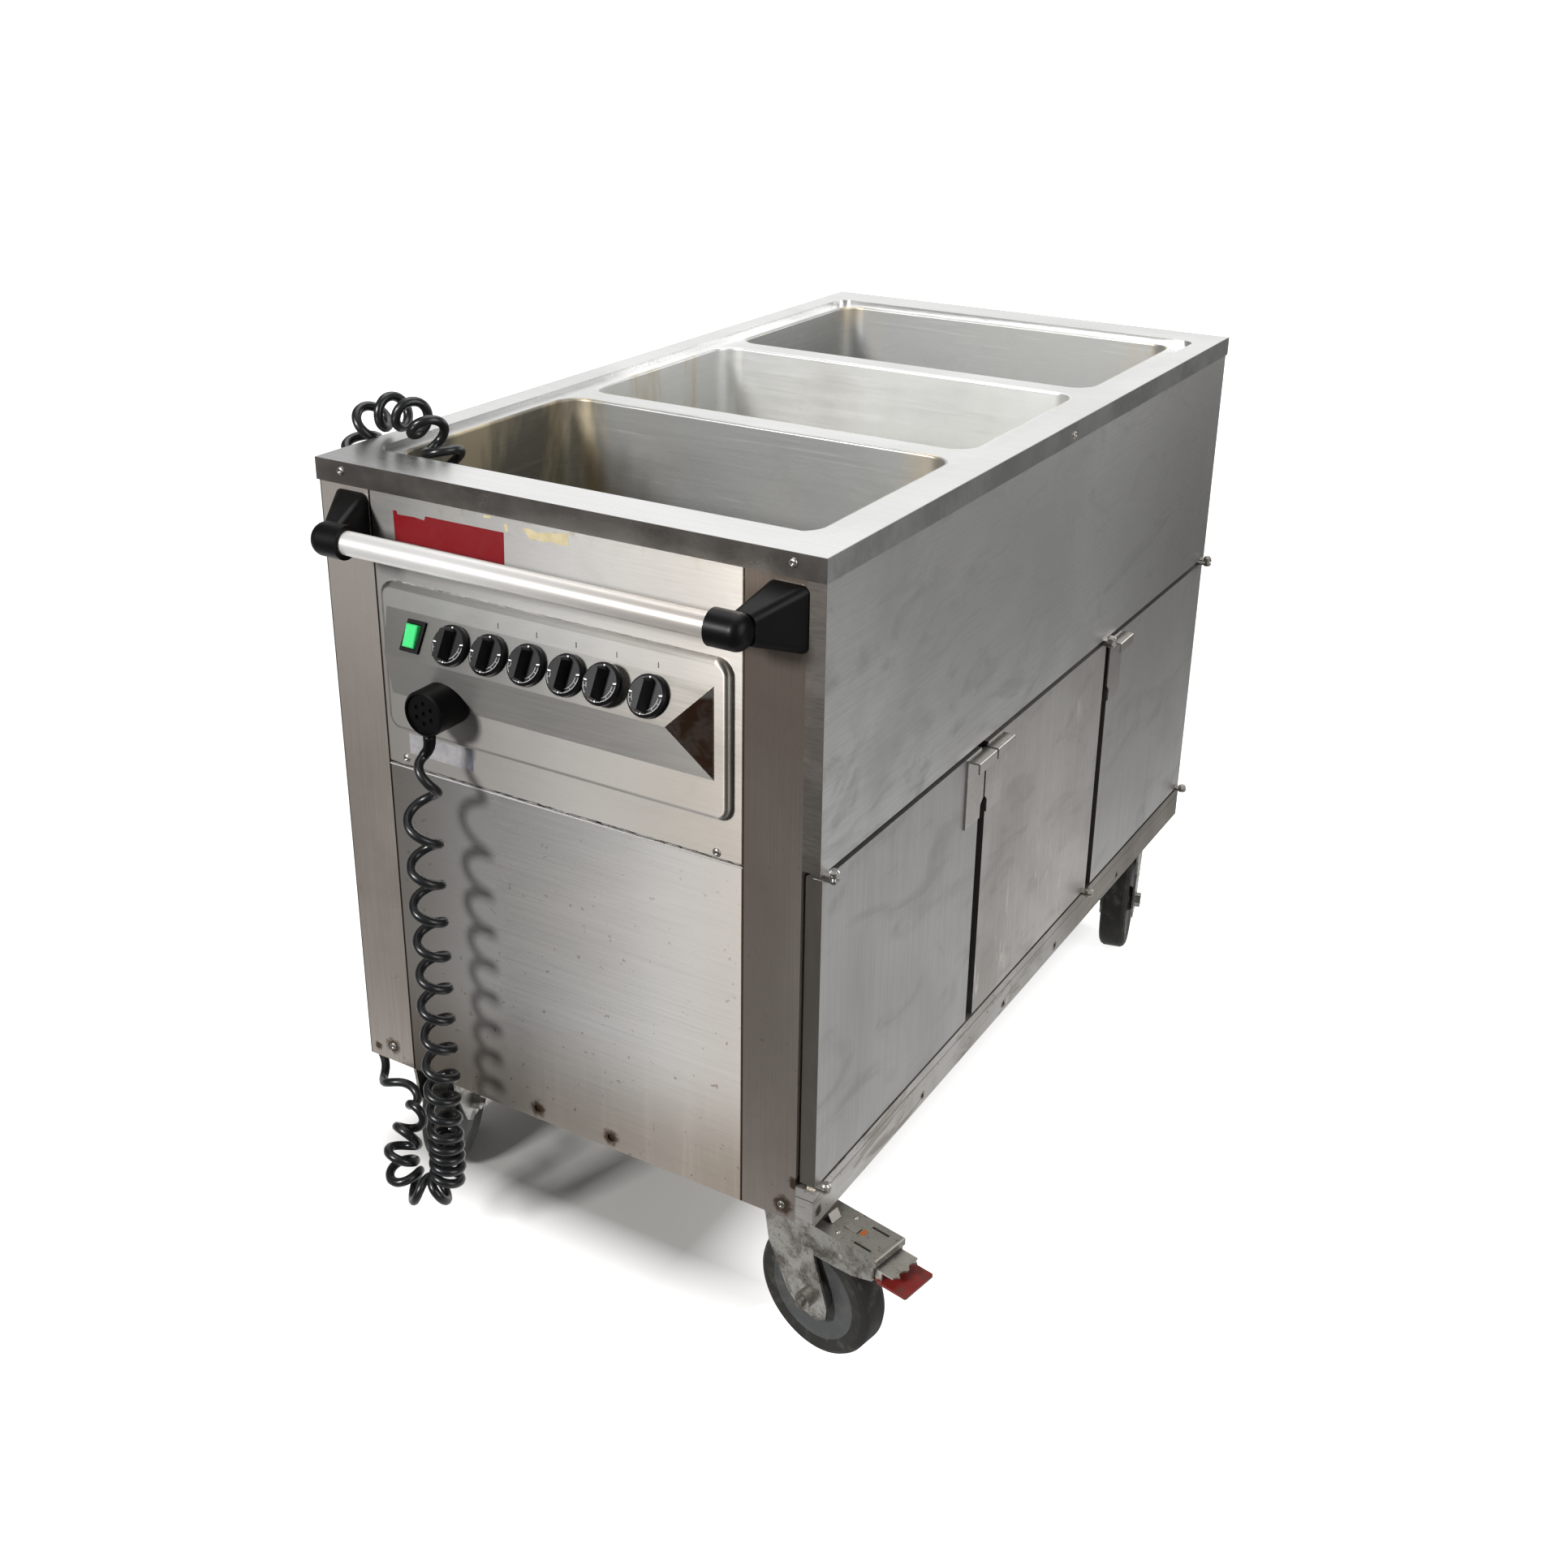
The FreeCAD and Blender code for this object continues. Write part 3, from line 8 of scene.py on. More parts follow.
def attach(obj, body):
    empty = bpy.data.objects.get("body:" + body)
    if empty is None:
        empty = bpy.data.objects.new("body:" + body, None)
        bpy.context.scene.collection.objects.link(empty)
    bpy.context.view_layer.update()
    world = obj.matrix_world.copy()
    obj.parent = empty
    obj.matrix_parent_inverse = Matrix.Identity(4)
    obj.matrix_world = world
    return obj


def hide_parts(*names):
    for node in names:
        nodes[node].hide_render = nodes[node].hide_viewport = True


# Bain marie counter on castors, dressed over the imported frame
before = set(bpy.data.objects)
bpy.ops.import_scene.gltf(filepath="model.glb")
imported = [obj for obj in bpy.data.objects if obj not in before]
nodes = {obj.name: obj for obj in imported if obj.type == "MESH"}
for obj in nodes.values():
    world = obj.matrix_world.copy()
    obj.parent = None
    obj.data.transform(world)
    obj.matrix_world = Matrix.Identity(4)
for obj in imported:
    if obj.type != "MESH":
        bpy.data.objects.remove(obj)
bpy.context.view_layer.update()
mm = 0.001
rowShift = (-57.0401, 36.5)  # from the middle of the counter to the row frame, in mm
deckHeight = 920  # in mm
frontFace = -562.0  # the front panels' outer face from the middle, in mm
footprint = (0.305, 0.565)  # half the deck's width and length, in metres
panelMiddle, panelHalf = -0.0095, 0.227  # the front panels between the posts, in metres


def spot(x, y, z):
    # A place given in mm from the middle of the counter
    return Vector(((x + rowShift[0]) * mm, (y + rowShift[1]) * mm, z * mm))


# Camera at the photograph's place
view = {
    "place": (0.96496, -1.828, 1.4216), "yaw": -0.5334, "pitch": 0.3984, "roll": 0.0125,
    "lens": 40.947, "sensor": 36, "shiftX": 0.0046, "shiftY": -0.0615, "farthest": 200,
}


def makeCamera():
    yaw, pitch, roll = view["yaw"], view["pitch"], view["roll"]
    ahead = Vector((math.sin(yaw) * math.cos(pitch), math.cos(yaw) * math.cos(pitch), -math.sin(pitch)))
    right = Vector((math.cos(yaw), -math.sin(yaw), 0))
    up = right.cross(ahead)
    side = right * math.cos(roll) + up * math.sin(roll)
    top = up * math.cos(roll) - right * math.sin(roll)
    data = bpy.data.cameras.new("photoCamera")
    data.sensor_width = view["sensor"]
    data.lens = view["lens"]
    data.shift_x, data.shift_y = view["shiftX"], view["shiftY"]
    data.clip_end = view["farthest"]
    camera = bpy.data.objects.new("photoCamera", data)
    camera.matrix_world = Matrix((side, top, -ahead)).transposed().to_4x4()
    camera.location = view["place"]
    bpy.context.scene.collection.objects.link(camera)
    bpy.context.scene.camera = camera


# Lamps: place, size in metres and power
lamps = {
    "keyLamp": ((-0.95, -3.35, 2.12), 0.54, 128),
    "fillLamp": ((3.2, -0.6, 1.9), 2.2, 63),
    "sideLamp": ((1.75, 3.3, 1.5), 1.4, 20),
    "topLamp": ((-0.4, 0.6, 3.4), 2.4, 45),
}
lampTarget = Vector((0, 0, 0.5))

# Sky: white to the camera, a weak light on the object, and a bright side that only gloss shows
skyLook = {
    "ambient": 0.22, "bright": (-0.28, 0.93, 0.24), "edge": (0.62, 0.92), "gloss": (0.10, 1.05),
    "overhead": (0.75, 1.0), "overheadGloss": 0.8,
}

# Floor: how far from the counter, in metres, its glow to the camera and in the gloss fades
floorLook = {
    "size": 60, "color": (0.42, 0.41, 0.395, 1), "mirrored": (0.02, 0.02, 0.02, 1), "shadowEnd": 0.09,
    "near": ((0.0, 0.095), (0.0, 0.95)), "far": ((1.2, 4.5), (0.0, 0.65)),
    "right": ((-0.13, -0.05), (0.0, 0.90)), "rightCorner": ((-0.22, -0.08), (0.0, 0.90)), "cornerAlong": (-0.58, -0.42),
    "ahead": (-0.95, -0.55), "behind": ((0.6, 2.2), (1, 0.22)), "sideGloss": ((0, 0.45), (0.95, 0.50)),
    "frontGloss": (0.08, 0.28), "frontLeftAcross": (-0.35, -1.0), "frontLeftAlong": (-1.95, -1.5),
}


def areaLamp(name, place, size, power):
    data = bpy.data.lights.new(name, "AREA")
    data.shape = "SQUARE"
    data.size = size
    data.energy = power
    lamp = bpy.data.objects.new(name, data)
    lamp.location = place
    lamp.rotation_mode = "QUATERNION"
    lamp.rotation_quaternion = (lampTarget - Vector(place)).to_track_quat("-Z", "Y")
    bpy.context.scene.collection.objects.link(lamp)


def makeSky():
    world = bpy.data.worlds.new("studio")
    bpy.context.scene.world = world
    world.use_nodes = True
    tree = world.node_tree
    ground = tree.nodes["Background"]
    rays = tree.nodes.new("ShaderNodeLightPath")
    glossyRay = rays.outputs["Is Glossy Ray"]
    ahead = tree.nodes.new("ShaderNodeTexCoord").outputs["Generated"]
    toBright = vectorMath(tree, "DOT_PRODUCT", ahead, Vector(skyLook["bright"]).normalized())
    sky = fade(tree, toBright, skyLook["edge"], skyLook["gloss"])
    overhead = (skyLook["gloss"][0], skyLook["overheadGloss"])
    sky = join(tree, "MAXIMUM", sky, fade(tree, axis(tree, ahead, "Z"), skyLook["overhead"], overhead))
    mirrored = product(tree, glossyRay, sky)
    seen = join(tree, "MAXIMUM", rays.outputs["Is Camera Ray"], mirrored)
    seen = join(tree, "MAXIMUM", seen, rays.outputs["Is Transmission Ray"])
    seen = join(tree, "MAXIMUM", seen, skyLook["ambient"])
    plainRay = join(tree, "SUBTRACT", 1, glossyRay)
    link(tree, join(tree, "ADD", product(tree, seen, plainRay), mirrored), ground.inputs["Strength"])
    ground.inputs["Color"].default_value = (1, 1, 1, 1)


def makeFloor():
    look = floorLook
    mesh = bmesh.new()
    bmesh.ops.create_grid(mesh, x_segments=2, y_segments=2, size=look["size"])
    floor = keep(mesh, "studioFloor", None, smooth=False)
    material, tree, shader = newMaterial("floorPaper", look["color"], 0.9)
    shader.inputs["Specular IOR Level"].default_value = 0
    rays = tree.nodes.new("ShaderNodeLightPath")
    place = fromCentre(tree)
    x, y = axis(tree, place, "X"), axis(tree, place, "Y")
    atRight = join(tree, "SUBTRACT", x, footprint[0])
    away = beyond(tree, place, (footprint[0], footprint[1] - look["shadowEnd"]))
    lit = join(tree, "ADD", span(tree, away, *look["near"]), span(tree, away, *look["far"]))
    beside = product(tree, span(tree, atRight, *look["rightCorner"]), fade(tree, y, look["cornerAlong"]))
    lit = join(tree, "ADD", lit, join(tree, "MAXIMUM", beside, span(tree, atRight, *look["right"])))
    ahead = fade(tree, y, look["ahead"], (1, 0))
    frontLeft = product(tree, fade(tree, x, look["frontLeftAcross"]), fade(tree, y, look["frontLeftAlong"]))
    frontGloss = span(tree, frontLeft, (0, 1), look["frontGloss"])
    sideGloss = product(tree, span(tree, atRight, *look["sideGloss"]), fade(tree, y, *look["behind"]))
    aside = join(tree, "SUBTRACT", 1.0, ahead)
    gloss = join(tree, "ADD", product(tree, frontGloss, ahead), product(tree, sideGloss, aside))
    seen = product(tree, rays.outputs["Is Camera Ray"], lit)
    mirrored = product(tree, rays.outputs["Is Glossy Ray"], gloss)
    link(tree, join(tree, "ADD", seen, mirrored), shader.inputs["Emission Strength"])
    shader.inputs["Emission Color"].default_value = (1, 1, 1, 1)
    plainRay = join(tree, "SUBTRACT", 1.0, rays.outputs["Is Glossy Ray"])
    link(tree, mix(tree, plainRay, look["mirrored"], look["color"]), shader.inputs["Base Color"])
    floor.data.materials.append(material)


def makeStudio():
    for name, (place, size, power) in lamps.items():
        areaLamp(name, place, size, power)
    makeSky()
    makeFloor()
    bpy.context.scene.view_settings.view_transform = "Standard"


# Small helpers for shader trees
def newMaterial(name, color, roughness, metallic=0.0):
    material = bpy.data.materials.new(name)
    material.use_nodes = True
    tree = material.node_tree
    shader = tree.nodes["Principled BSDF"]
    shader.inputs["Base Color"].default_value = color
    shader.inputs["Roughness"].default_value = roughness
    shader.inputs["Metallic"].default_value = metallic
    material.diffuse_color = color
    return material, tree, shader


def link(tree, source, socket):
    if hasattr(source, "is_output"):
        tree.links.new(source, socket)
    else:
        socket.default_value = source


def coordinates(tree):
    return tree.nodes.new("ShaderNodeTexCoord").outputs["Object"]


def fromCentre(tree):
    # Object coordinates from the middle of the counter, in metres
    return vectorMath(tree, "SUBTRACT", coordinates(tree), (rowShift[0] * mm, rowShift[1] * mm, 0))


def vectorMath(tree, operation, a, b):
    made = tree.nodes.new("ShaderNodeVectorMath")
    made.operation = operation
    link(tree, a, made.inputs[0])
    link(tree, b, made.inputs[1])
    return made.outputs["Value" if operation in ("LENGTH", "DISTANCE", "DOT_PRODUCT") else "Vector"]


def beyond(tree, place, half):
    # How far a place lies outside an upright box round the middle
    flat = vectorMath(tree, "MULTIPLY", vectorMath(tree, "ABSOLUTE", place, (0, 0, 0)), (1, 1, 0))
    out = vectorMath(tree, "MAXIMUM", vectorMath(tree, "SUBTRACT", flat, (*half, 0)), (0, 0, 0))
    return vectorMath(tree, "LENGTH", out, (0, 0, 0))


def stretched(tree, source, scale, turn=(0, 0, 0)):
    made = tree.nodes.new("ShaderNodeMapping")
    link(tree, source, made.inputs["Vector"])
    made.inputs["Scale"].default_value = scale
    made.inputs["Rotation"].default_value = turn
    return made.outputs["Vector"]


def cloud(tree, source, scale, detail=3.0, rough=0.5, warp=0.0):
    made = tree.nodes.new("ShaderNodeTexNoise")
    link(tree, source, made.inputs["Vector"])
    for key, value in (("Scale", scale), ("Detail", detail), ("Roughness", rough), ("Distortion", warp)):
        made.inputs[key].default_value = value
    return made.outputs["Fac"]


def span(tree, source, limits, values=(0, 1), smooth=False):
    # Runs from the first value to the second while the source passes between the limits
    made = tree.nodes.new("ShaderNodeMapRange")
    if smooth:
        made.interpolation_type = "SMOOTHSTEP"
    link(tree, source, made.inputs["Value"])
    for key, value in zip(("From Min", "From Max", "To Min", "To Max"), (*limits, *values)):
        made.inputs[key].default_value = value
    return made.outputs["Result"]


def fade(tree, source, limits, values=(0, 1)):
    return span(tree, source, limits, values, True)


def join(tree, operation, a, b):
    made = tree.nodes.new("ShaderNodeMath")
    made.operation = operation
    link(tree, a, made.inputs[0])
    link(tree, b, made.inputs[1])
    return made.outputs["Value"]


def product(tree, first, *others):
    for part in others:
        first = join(tree, "MULTIPLY", first, part)
    return first


def farFrom(tree, source, middle):
    return join(tree, "ABSOLUTE", join(tree, "SUBTRACT", source, middle), 0)


# The mix node's colour sockets by number, because their names come more than once
mixA, mixB, mixResult = 6, 7, 2


def mix(tree, share, a, b, blend="MIX"):
    made = tree.nodes.new("ShaderNodeMix")
    made.data_type = "RGBA"
    made.blend_type = blend
    link(tree, share, made.inputs["Factor"])
    link(tree, a, made.inputs[mixA])
    link(tree, b, made.inputs[mixB])
    return made.outputs[mixResult]


def axis(tree, source, name):
    made = tree.nodes.new("ShaderNodeSeparateXYZ")
    link(tree, source, made.inputs[0])
    return made.outputs[name]


def facing(tree, name):
    # How far the face looks along an axis
    return axis(tree, tree.nodes.new("ShaderNodeNewGeometry").outputs["Normal"], name)


def bumped(tree, shader, height, distance, strength):
    made = tree.nodes.new("ShaderNodeBump")
    made.inputs["Strength"].default_value = strength
    made.inputs["Distance"].default_value = distance
    link(tree, height, made.inputs["Height"])
    link(tree, made.outputs["Normal"], shader.inputs["Normal"])


def scaled(color, share):
    return (*(share * part for part in color[:3]), 1)


# Brushed steels: grain is the scale of the brush lines along X, Y and Z, spread the way they scatter light,
# frontFaceShade the painted shade given to faces turned to the front, and holes are places along the sheet and up it
# with a reach, in mm
upright = (0, 0, 1)
steelLooks = {
    "deckSteel": {
        "color": (0.77, 0.77, 0.76), "dull": (0.67, 0.67, 0.66), "rough": (0.26, 0.34), "grain": (9, 260, 60),
        "metal": 0.95, "bump": 0.1,
    },
    "controlSteel": {
        "color": (0.72, 0.71, 0.69), "dull": (0.61, 0.60, 0.57), "rough": (0.50, 0.58), "grain": (12, 60, 420),
        "spread": upright, "anisotropy": 0.85, "smears": 0.25,
    },
    "frontSteel": {
        "color": (0.58, 0.57, 0.555), "dull": (0.50, 0.485, 0.465), "rough": (0.42, 0.50), "grain": (10, 60, 520),
        "spread": upright, "anisotropy": 0.88, "streaks": 0.3, "specks": 0.6, "holes": [(-53, 201, 13), (48, 201, 13)],
    },
    "postSteel": {
        "color": (0.40, 0.352, 0.318), "dull": (0.29, 0.25, 0.222), "rough": (0.28, 0.40), "grain": (420, 420, 8),
        "metal": 0.8, "specks": 0.35,
        "holes": [(-267, 208, 13), (268, 203, 15), (281, 236, 9), (-291, 200, 7), (292, 196, 8)],
    },
    "sideSteel": {
        "frontFaceShade": (0.15, 0.135, 0.12), "color": (0.63, 0.63, 0.62), "dull": (0.47, 0.47, 0.46), "metal": 0.9,
        "rough": (0.36, 0.46), "grain": (60, 8, 420), "smears": 0.75, "spread": upright, "anisotropy": 0.5,
    },
    "doorSteel": {
        "frontFaceShade": (0.15, 0.135, 0.12), "color": (0.50, 0.495, 0.48), "dull": (0.41, 0.405, 0.39), "metal": 0.9,
        "rough": (0.38, 0.48), "grain": (60, 420, 8), "spread": upright, "anisotropy": 0.4, "smears": 0.45,
    },
    "wornDoorSteel": {
        "frontFaceShade": (0.12, 0.11, 0.10), "color": (0.56, 0.54, 0.515), "dull": (0.43, 0.41, 0.385),
        "rough": (0.38, 0.54), "grain": (60, 420, 8), "smears": 0.5, "scuffs": 0.8, "metal": 0.88,
    },
    "skirtSteel": {
        "color": (0.66, 0.65, 0.63), "dull": (0.50, 0.48, 0.45), "rough": (0.34, 0.52), "grain": (60, 8, 400),
        "smears": 0.5, "specks": 0.9, "metal": 0.9, "sheetAlong": "Y",
        "holes": [(-308, 198, 7), (-82, 198, 7), (82, 198, 7), (308, 198, 7), (-549, 202, 9)],
    },
    "wellSteel": {
        "color": (0.55, 0.555, 0.545), "dull": (0.42, 0.425, 0.415), "rough": (0.34, 0.50), "grain": (8, 8, 300),
        "smears": 0.5, "scratches": 0.16, "metal": 0.85, "bump": 0.3,
    },
    "hiddenSteel": {
        "color": (0.46, 0.46, 0.45), "dull": (0.38, 0.38, 0.37), "rough": (0.34, 0.46), "grain": (8, 8, 300),
        # The rings on this steel are painted shade where it shows through the front panel's holes
        "holes": [(-53, 201, 18), (48, 201, 18)],
    },
    "hingeSteel": {
        "color": (0.62, 0.60, 0.57), "dull": (0.40, 0.37, 0.33), "rough": (0.26, 0.40), "grain": (200, 200, 200),
    },
    "barSteel": {
        "color": (0.90, 0.89, 0.87), "dull": (0.80, 0.785, 0.765), "rough": (0.34, 0.42), "grain": (10, 200, 200),
        "metal": 0.6, "bump": 0.1,
    },
}


# The colours of wear and dirt
wearTones = {
    "scuff": (0.74, 0.69, 0.64, 1), "run": (0.72, 0.70, 0.66, 1), "low": (0.42, 0.39, 0.355, 1),
    "pit": (0.13, 0.07, 0.03, 1), "scratch": (0.86, 0.86, 0.85, 1), "grime": (0.20, 0.17, 0.13, 1),
}


def smeared(tree, place, shade, rough, amount, dull):
    # Wiped hand marks and dull cloudy areas
    waves = cloud(tree, stretched(tree, place, (4, 4, 9), (0.3, 0.2, 0.4)), 1.6, detail=5, rough=0.62, warp=1.4)
    smear = fade(tree, waves, (0.48, 0.74), (0, amount))
    shade = mix(tree, smear, shade, scaled(dull, 0.70))
    return shade, join(tree, "ADD", rough, product(tree, smear, 0.10))


def scuffed(tree, place, shade, rough, amount):
    # Pale rubbed strokes
    strokes = cloud(tree, stretched(tree, place, (30, 55, 14), (0.15, 0, 0)), 1, detail=6, rough=0.72, warp=0.8)
    where = fade(tree, cloud(tree, place, 7), (0.46, 0.62))
    scuff = product(tree, fade(tree, strokes, (0.55, 0.66), (0, amount)), where)
    return mix(tree, scuff, shade, wearTones["scuff"]), join(tree, "ADD", rough, product(tree, scuff, 0.12))


def streaked(tree, place, shade, amount):
    # Run marks and a warm tone low on the sheet
    runs = cloud(tree, stretched(tree, place, (70, 70, 3)), 1, detail=4, rough=0.6, warp=0.3)
    low = fade(tree, axis(tree, place, "Z"), (0.34, 0.19))
    run = product(tree, fade(tree, runs, (0.50, 0.68), (0, amount)), low)
    shade = mix(tree, run, shade, wearTones["run"])
    return mix(tree, product(tree, low, 0.35), shade, wearTones["low"])


def speckled(tree, place, shade, amount):
    # Pits and rust freckles, more of them low down
    pits = cloud(tree, place, 130, detail=2, rough=0.6)
    low = fade(tree, axis(tree, place, "Z"), (0.75, 0.19), (0.25, 1))
    pit = product(tree, fade(tree, pits, (0.68, 0.74), (0, amount)), low)
    return mix(tree, pit, shade, wearTones["pit"])


# Dirt round holes, and painted shade on steel seen through holes: how ragged its edge is, in metres, and the share of
# its reach that is full
holeDirtAndShade = {"ragged": 0.014, "core": 0.45, "amount": 0.92, "color": (0.055, 0.03, 0.014, 1)}


def ringed(tree, place, shade, holes, along):
    # Brown dirt round holes and screws, and painted shade where steel shows through holes
    noisy = join(tree, "SUBTRACT", cloud(tree, place, 160, detail=4, rough=0.7), 0.5)
    ragged = product(tree, noisy, holeDirtAndShade["ragged"])
    flat = vectorMath(tree, "MULTIPLY", fromCentre(tree), (1, 0, 1) if along == "X" else (0, 1, 1))
    for across, high, reach in holes:
        centre = (across * mm, 0, high * mm) if along == "X" else (0, across * mm, high * mm)
        away = join(tree, "ADD", vectorMath(tree, "DISTANCE", flat, centre), ragged)
        share = fade(tree, away, (reach * mm, reach * holeDirtAndShade["core"] * mm), (0, holeDirtAndShade["amount"]))
        shade = mix(tree, share, shade, holeDirtAndShade["color"])
    return shade


def scratched(tree, place, shade, amount):
    # Fine pale scratches that run two ways
    for turn, stretch in (((0.2, 0.9, 0.4), (5, 40, 160)), ((-0.4, 0.3, 1.1), (6, 6, 190))):
        lines = cloud(tree, stretched(tree, place, stretch, turn), 1, detail=2)
        shade = mix(tree, fade(tree, lines, (0.66, 0.70), (0, amount)), shade, wearTones["scratch"])
    return shade


def steel(name):
    look = steelLooks[name]
    color, dull = (*look["color"], 1), (*look["dull"], 1)
    material, tree, shader = newMaterial(name, color, 0.35, look.get("metal", 1.0))
    place = coordinates(tree)
    lines = cloud(tree, stretched(tree, place, look["grain"]), 1, rough=0.6)
    patches = cloud(tree, place, 3.2, detail=4, rough=0.55, warp=0.6)
    shade = mix(tree, fade(tree, patches, (0.36, 0.66)), color, dull)
    shade = mix(tree, span(tree, lines, (0.35, 0.65), (0.0, 0.30)), shade, scaled(dull, 0.8))
    lineRough = span(tree, lines, (0.3, 0.7), (-0.03, 0.03))
    rough = join(tree, "ADD", span(tree, patches, (0.3, 0.7), look["rough"]), lineRough)
    if "smears" in look:
        shade, rough = smeared(tree, place, shade, rough, look["smears"], dull)
    if "scuffs" in look:
        shade, rough = scuffed(tree, place, shade, rough, look["scuffs"])
    if "streaks" in look:
        shade = streaked(tree, place, shade, look["streaks"])
    if "specks" in look:
        shade = speckled(tree, place, shade, look["specks"])
    if "scratches" in look:
        shade = scratched(tree, place, shade, look["scratches"])
    shade = placed(tree, name, shade)
    if "holes" in look:
        shade = ringed(tree, place, shade, look["holes"], look.get("sheetAlong", "X"))
    if "spread" in look:
        across = tree.nodes.new("ShaderNodeCombineXYZ")
        for socket, value in zip(across.inputs, look["spread"]):
            socket.default_value = value
        link(tree, across.outputs["Vector"], shader.inputs["Tangent"])
        shader.inputs["Anisotropic"].default_value = look["anisotropy"]
    # Painted shade: faces turned to the front take a darker colour
    if "frontFaceShade" in look:
        shade = mix(tree, span(tree, facing(tree, "Y"), (-0.55, -0.85)), shade, (*look["frontFaceShade"], 1))
    if name == "deckSteel":
        shade = lipped(tree, shade)
    if name == "controlSteel":
        shade, rough = rustedAndShaded(tree, place, shade, rough)
    link(tree, shade, shader.inputs["Base Color"])
    link(tree, rough, shader.inputs["Roughness"])
    bumped(tree, shader, lines, 0.00002, look.get("bump", 0.5))
    return material


# The deck's folded lip: how far inside the footprint it starts, in metres, and its clean and dirty tones, darker at the
# front than at the right side as painted shade
lipInset = 0.0022
lipShadeAndDirt = {
    "front": ((0.36, 0.335, 0.31, 1), (0.24, 0.22, 0.20, 1)),
    "right": ((0.66, 0.66, 0.65, 1), (0.50, 0.50, 0.49, 1)),
}


def lipped(tree, shade):
    # Painted shade makes the folded lip round the deck darker than its top, less so at the right side, with dirt
    # mottling it
    place = fromCentre(tree)
    lip = span(tree, beyond(tree, place, [part - lipInset for part in footprint]), (0.0008, 0.0016))
    dirt = fade(tree, cloud(tree, place, 14, detail=5, rough=0.6), (0.35, 0.65))
    front, right = (mix(tree, dirt, *lipShadeAndDirt[side]) for side in ("front", "right"))
    return mix(tree, lip, shade, mix(tree, span(tree, facing(tree, "X"), (0.5, 0.8)), front, right))


# Broad tones over a sheet, most of them painted light and shade: where each fades in, by axis and in metres from the
# middle, and what it multiplies by
sheetShadesAndTones = {
    "frontSteel": [
        # Front panel: painted shade on the left part, darker towards the bottom, and painted shade at the right end
        ({"X": (-0.10, -0.225)}, (0.74, 0.71, 0.68)),
        ({"Z": (0.36, 0.20)}, (0.60, 0.555, 0.515)),
        ({"X": (0.10, 0.23)}, (0.80, 0.77, 0.74)),
    ],
    # Control panel: painted shade on the right part and on the lower part
    "controlSteel": [({"X": (-0.02, 0.19)}, (0.72, 0.69, 0.66)), ({"Z": (0.80, 0.69)}, (0.80, 0.78, 0.76))],
    # Skirt: painted shade towards the rear
    "skirtSteel": [({"Y": (-0.35, 0.40)}, (0.36, 0.335, 0.30))],
    # Side panels: painted shade towards the rear
    "sideSteel": [({"Y": (0.05, 0.50)}, (0.68, 0.67, 0.66))],
    # Deck: painted shadow of the cord on the front left corner
    "deckSteel": [({"X": (-0.12, -0.25), "Y": (-0.38, -0.52)}, (0.45, 0.45, 0.45))],
    "postSteel": [
        # Posts: painted light on the left post, the left post darker low down and the right post darker high up
        ({"X": (0.2, 0.0)}, (2.05, 2.15, 2.22)),
        ({"X": (0.0, -0.2), "Z": (0.82, 0.55)}, (0.66, 0.64, 0.62)),
        ({"X": (0.0, 0.2), "Z": (0.45, 0.80)}, (0.68, 0.64, 0.60)),
    ],
    # Bar: painted shade towards the right end
    "barSteel": [({"X": (-0.12, 0.20)}, (0.66, 0.62, 0.59))],
}


def placed(tree, name, shade):
    place = fromCentre(tree)
    for limits, tone in sheetShadesAndTones.get(name, []):
        share = product(tree, *(fade(tree, axis(tree, place, key), ends) for key, ends in limits.items()))
        shade = mix(tree, share, shade, (*tone, 1), "MULTIPLY")
    if name in ("frontSteel", "controlSteel"):
        shade = jointed(tree, place, shade)
    if name == "skirtSteel":
        shade = grimed(tree, place, shade)
    if name == "wellSteel":
        shade = shadedAndStained(tree, place, shade)
    return shade


# The joint beside the posts: how far inside the panel's edge it starts and is full, in metres
jointLook = {"width": (0.0026, 0.0014), "color": (0.10, 0.07, 0.05, 1)}


def jointed(tree, place, shade):
    # The dark joint between a front panel and the posts
    fromMiddle = farFrom(tree, axis(tree, place, "X"), panelMiddle)
    joint = fade(tree, fromMiddle, [panelHalf - width for width in jointLook["width"]])
    return mix(tree, joint, shade, jointLook["color"], "MULTIPLY")


skirtLine = {"height": 0.2205, "limits": (0.0009, 0.0004), "color": (0.07, 0.055, 0.04, 1)}


def grimed(tree, place, shade):
    # Grime on the skirt, and the dark line of its fold
    grime = cloud(tree, stretched(tree, place, (9, 9, 50)), 1, detail=6, rough=0.7, warp=0.6)
    shade = mix(tree, fade(tree, grime, (0.50, 0.62), (0, 0.65)), shade, wearTones["grime"])
    away = farFrom(tree, axis(tree, place, "Z"), skirtLine["height"])
    return mix(tree, span(tree, away, skirtLine["limits"], (0, 0.85)), shade, skirtLine["color"])


# Well tones: painted light (pale) on the middle and rear wells, painted shade (left) at the front well's left end, and
# a brown stain colour
wellShadesAndStains = {"between": (0.165, 0.18), "pale": (0.84, 0.845, 0.83, 1), "left": (0.45, 0.42, 0.35, 1),
             "stain": (0.62, 0.52, 0.36, 1)}


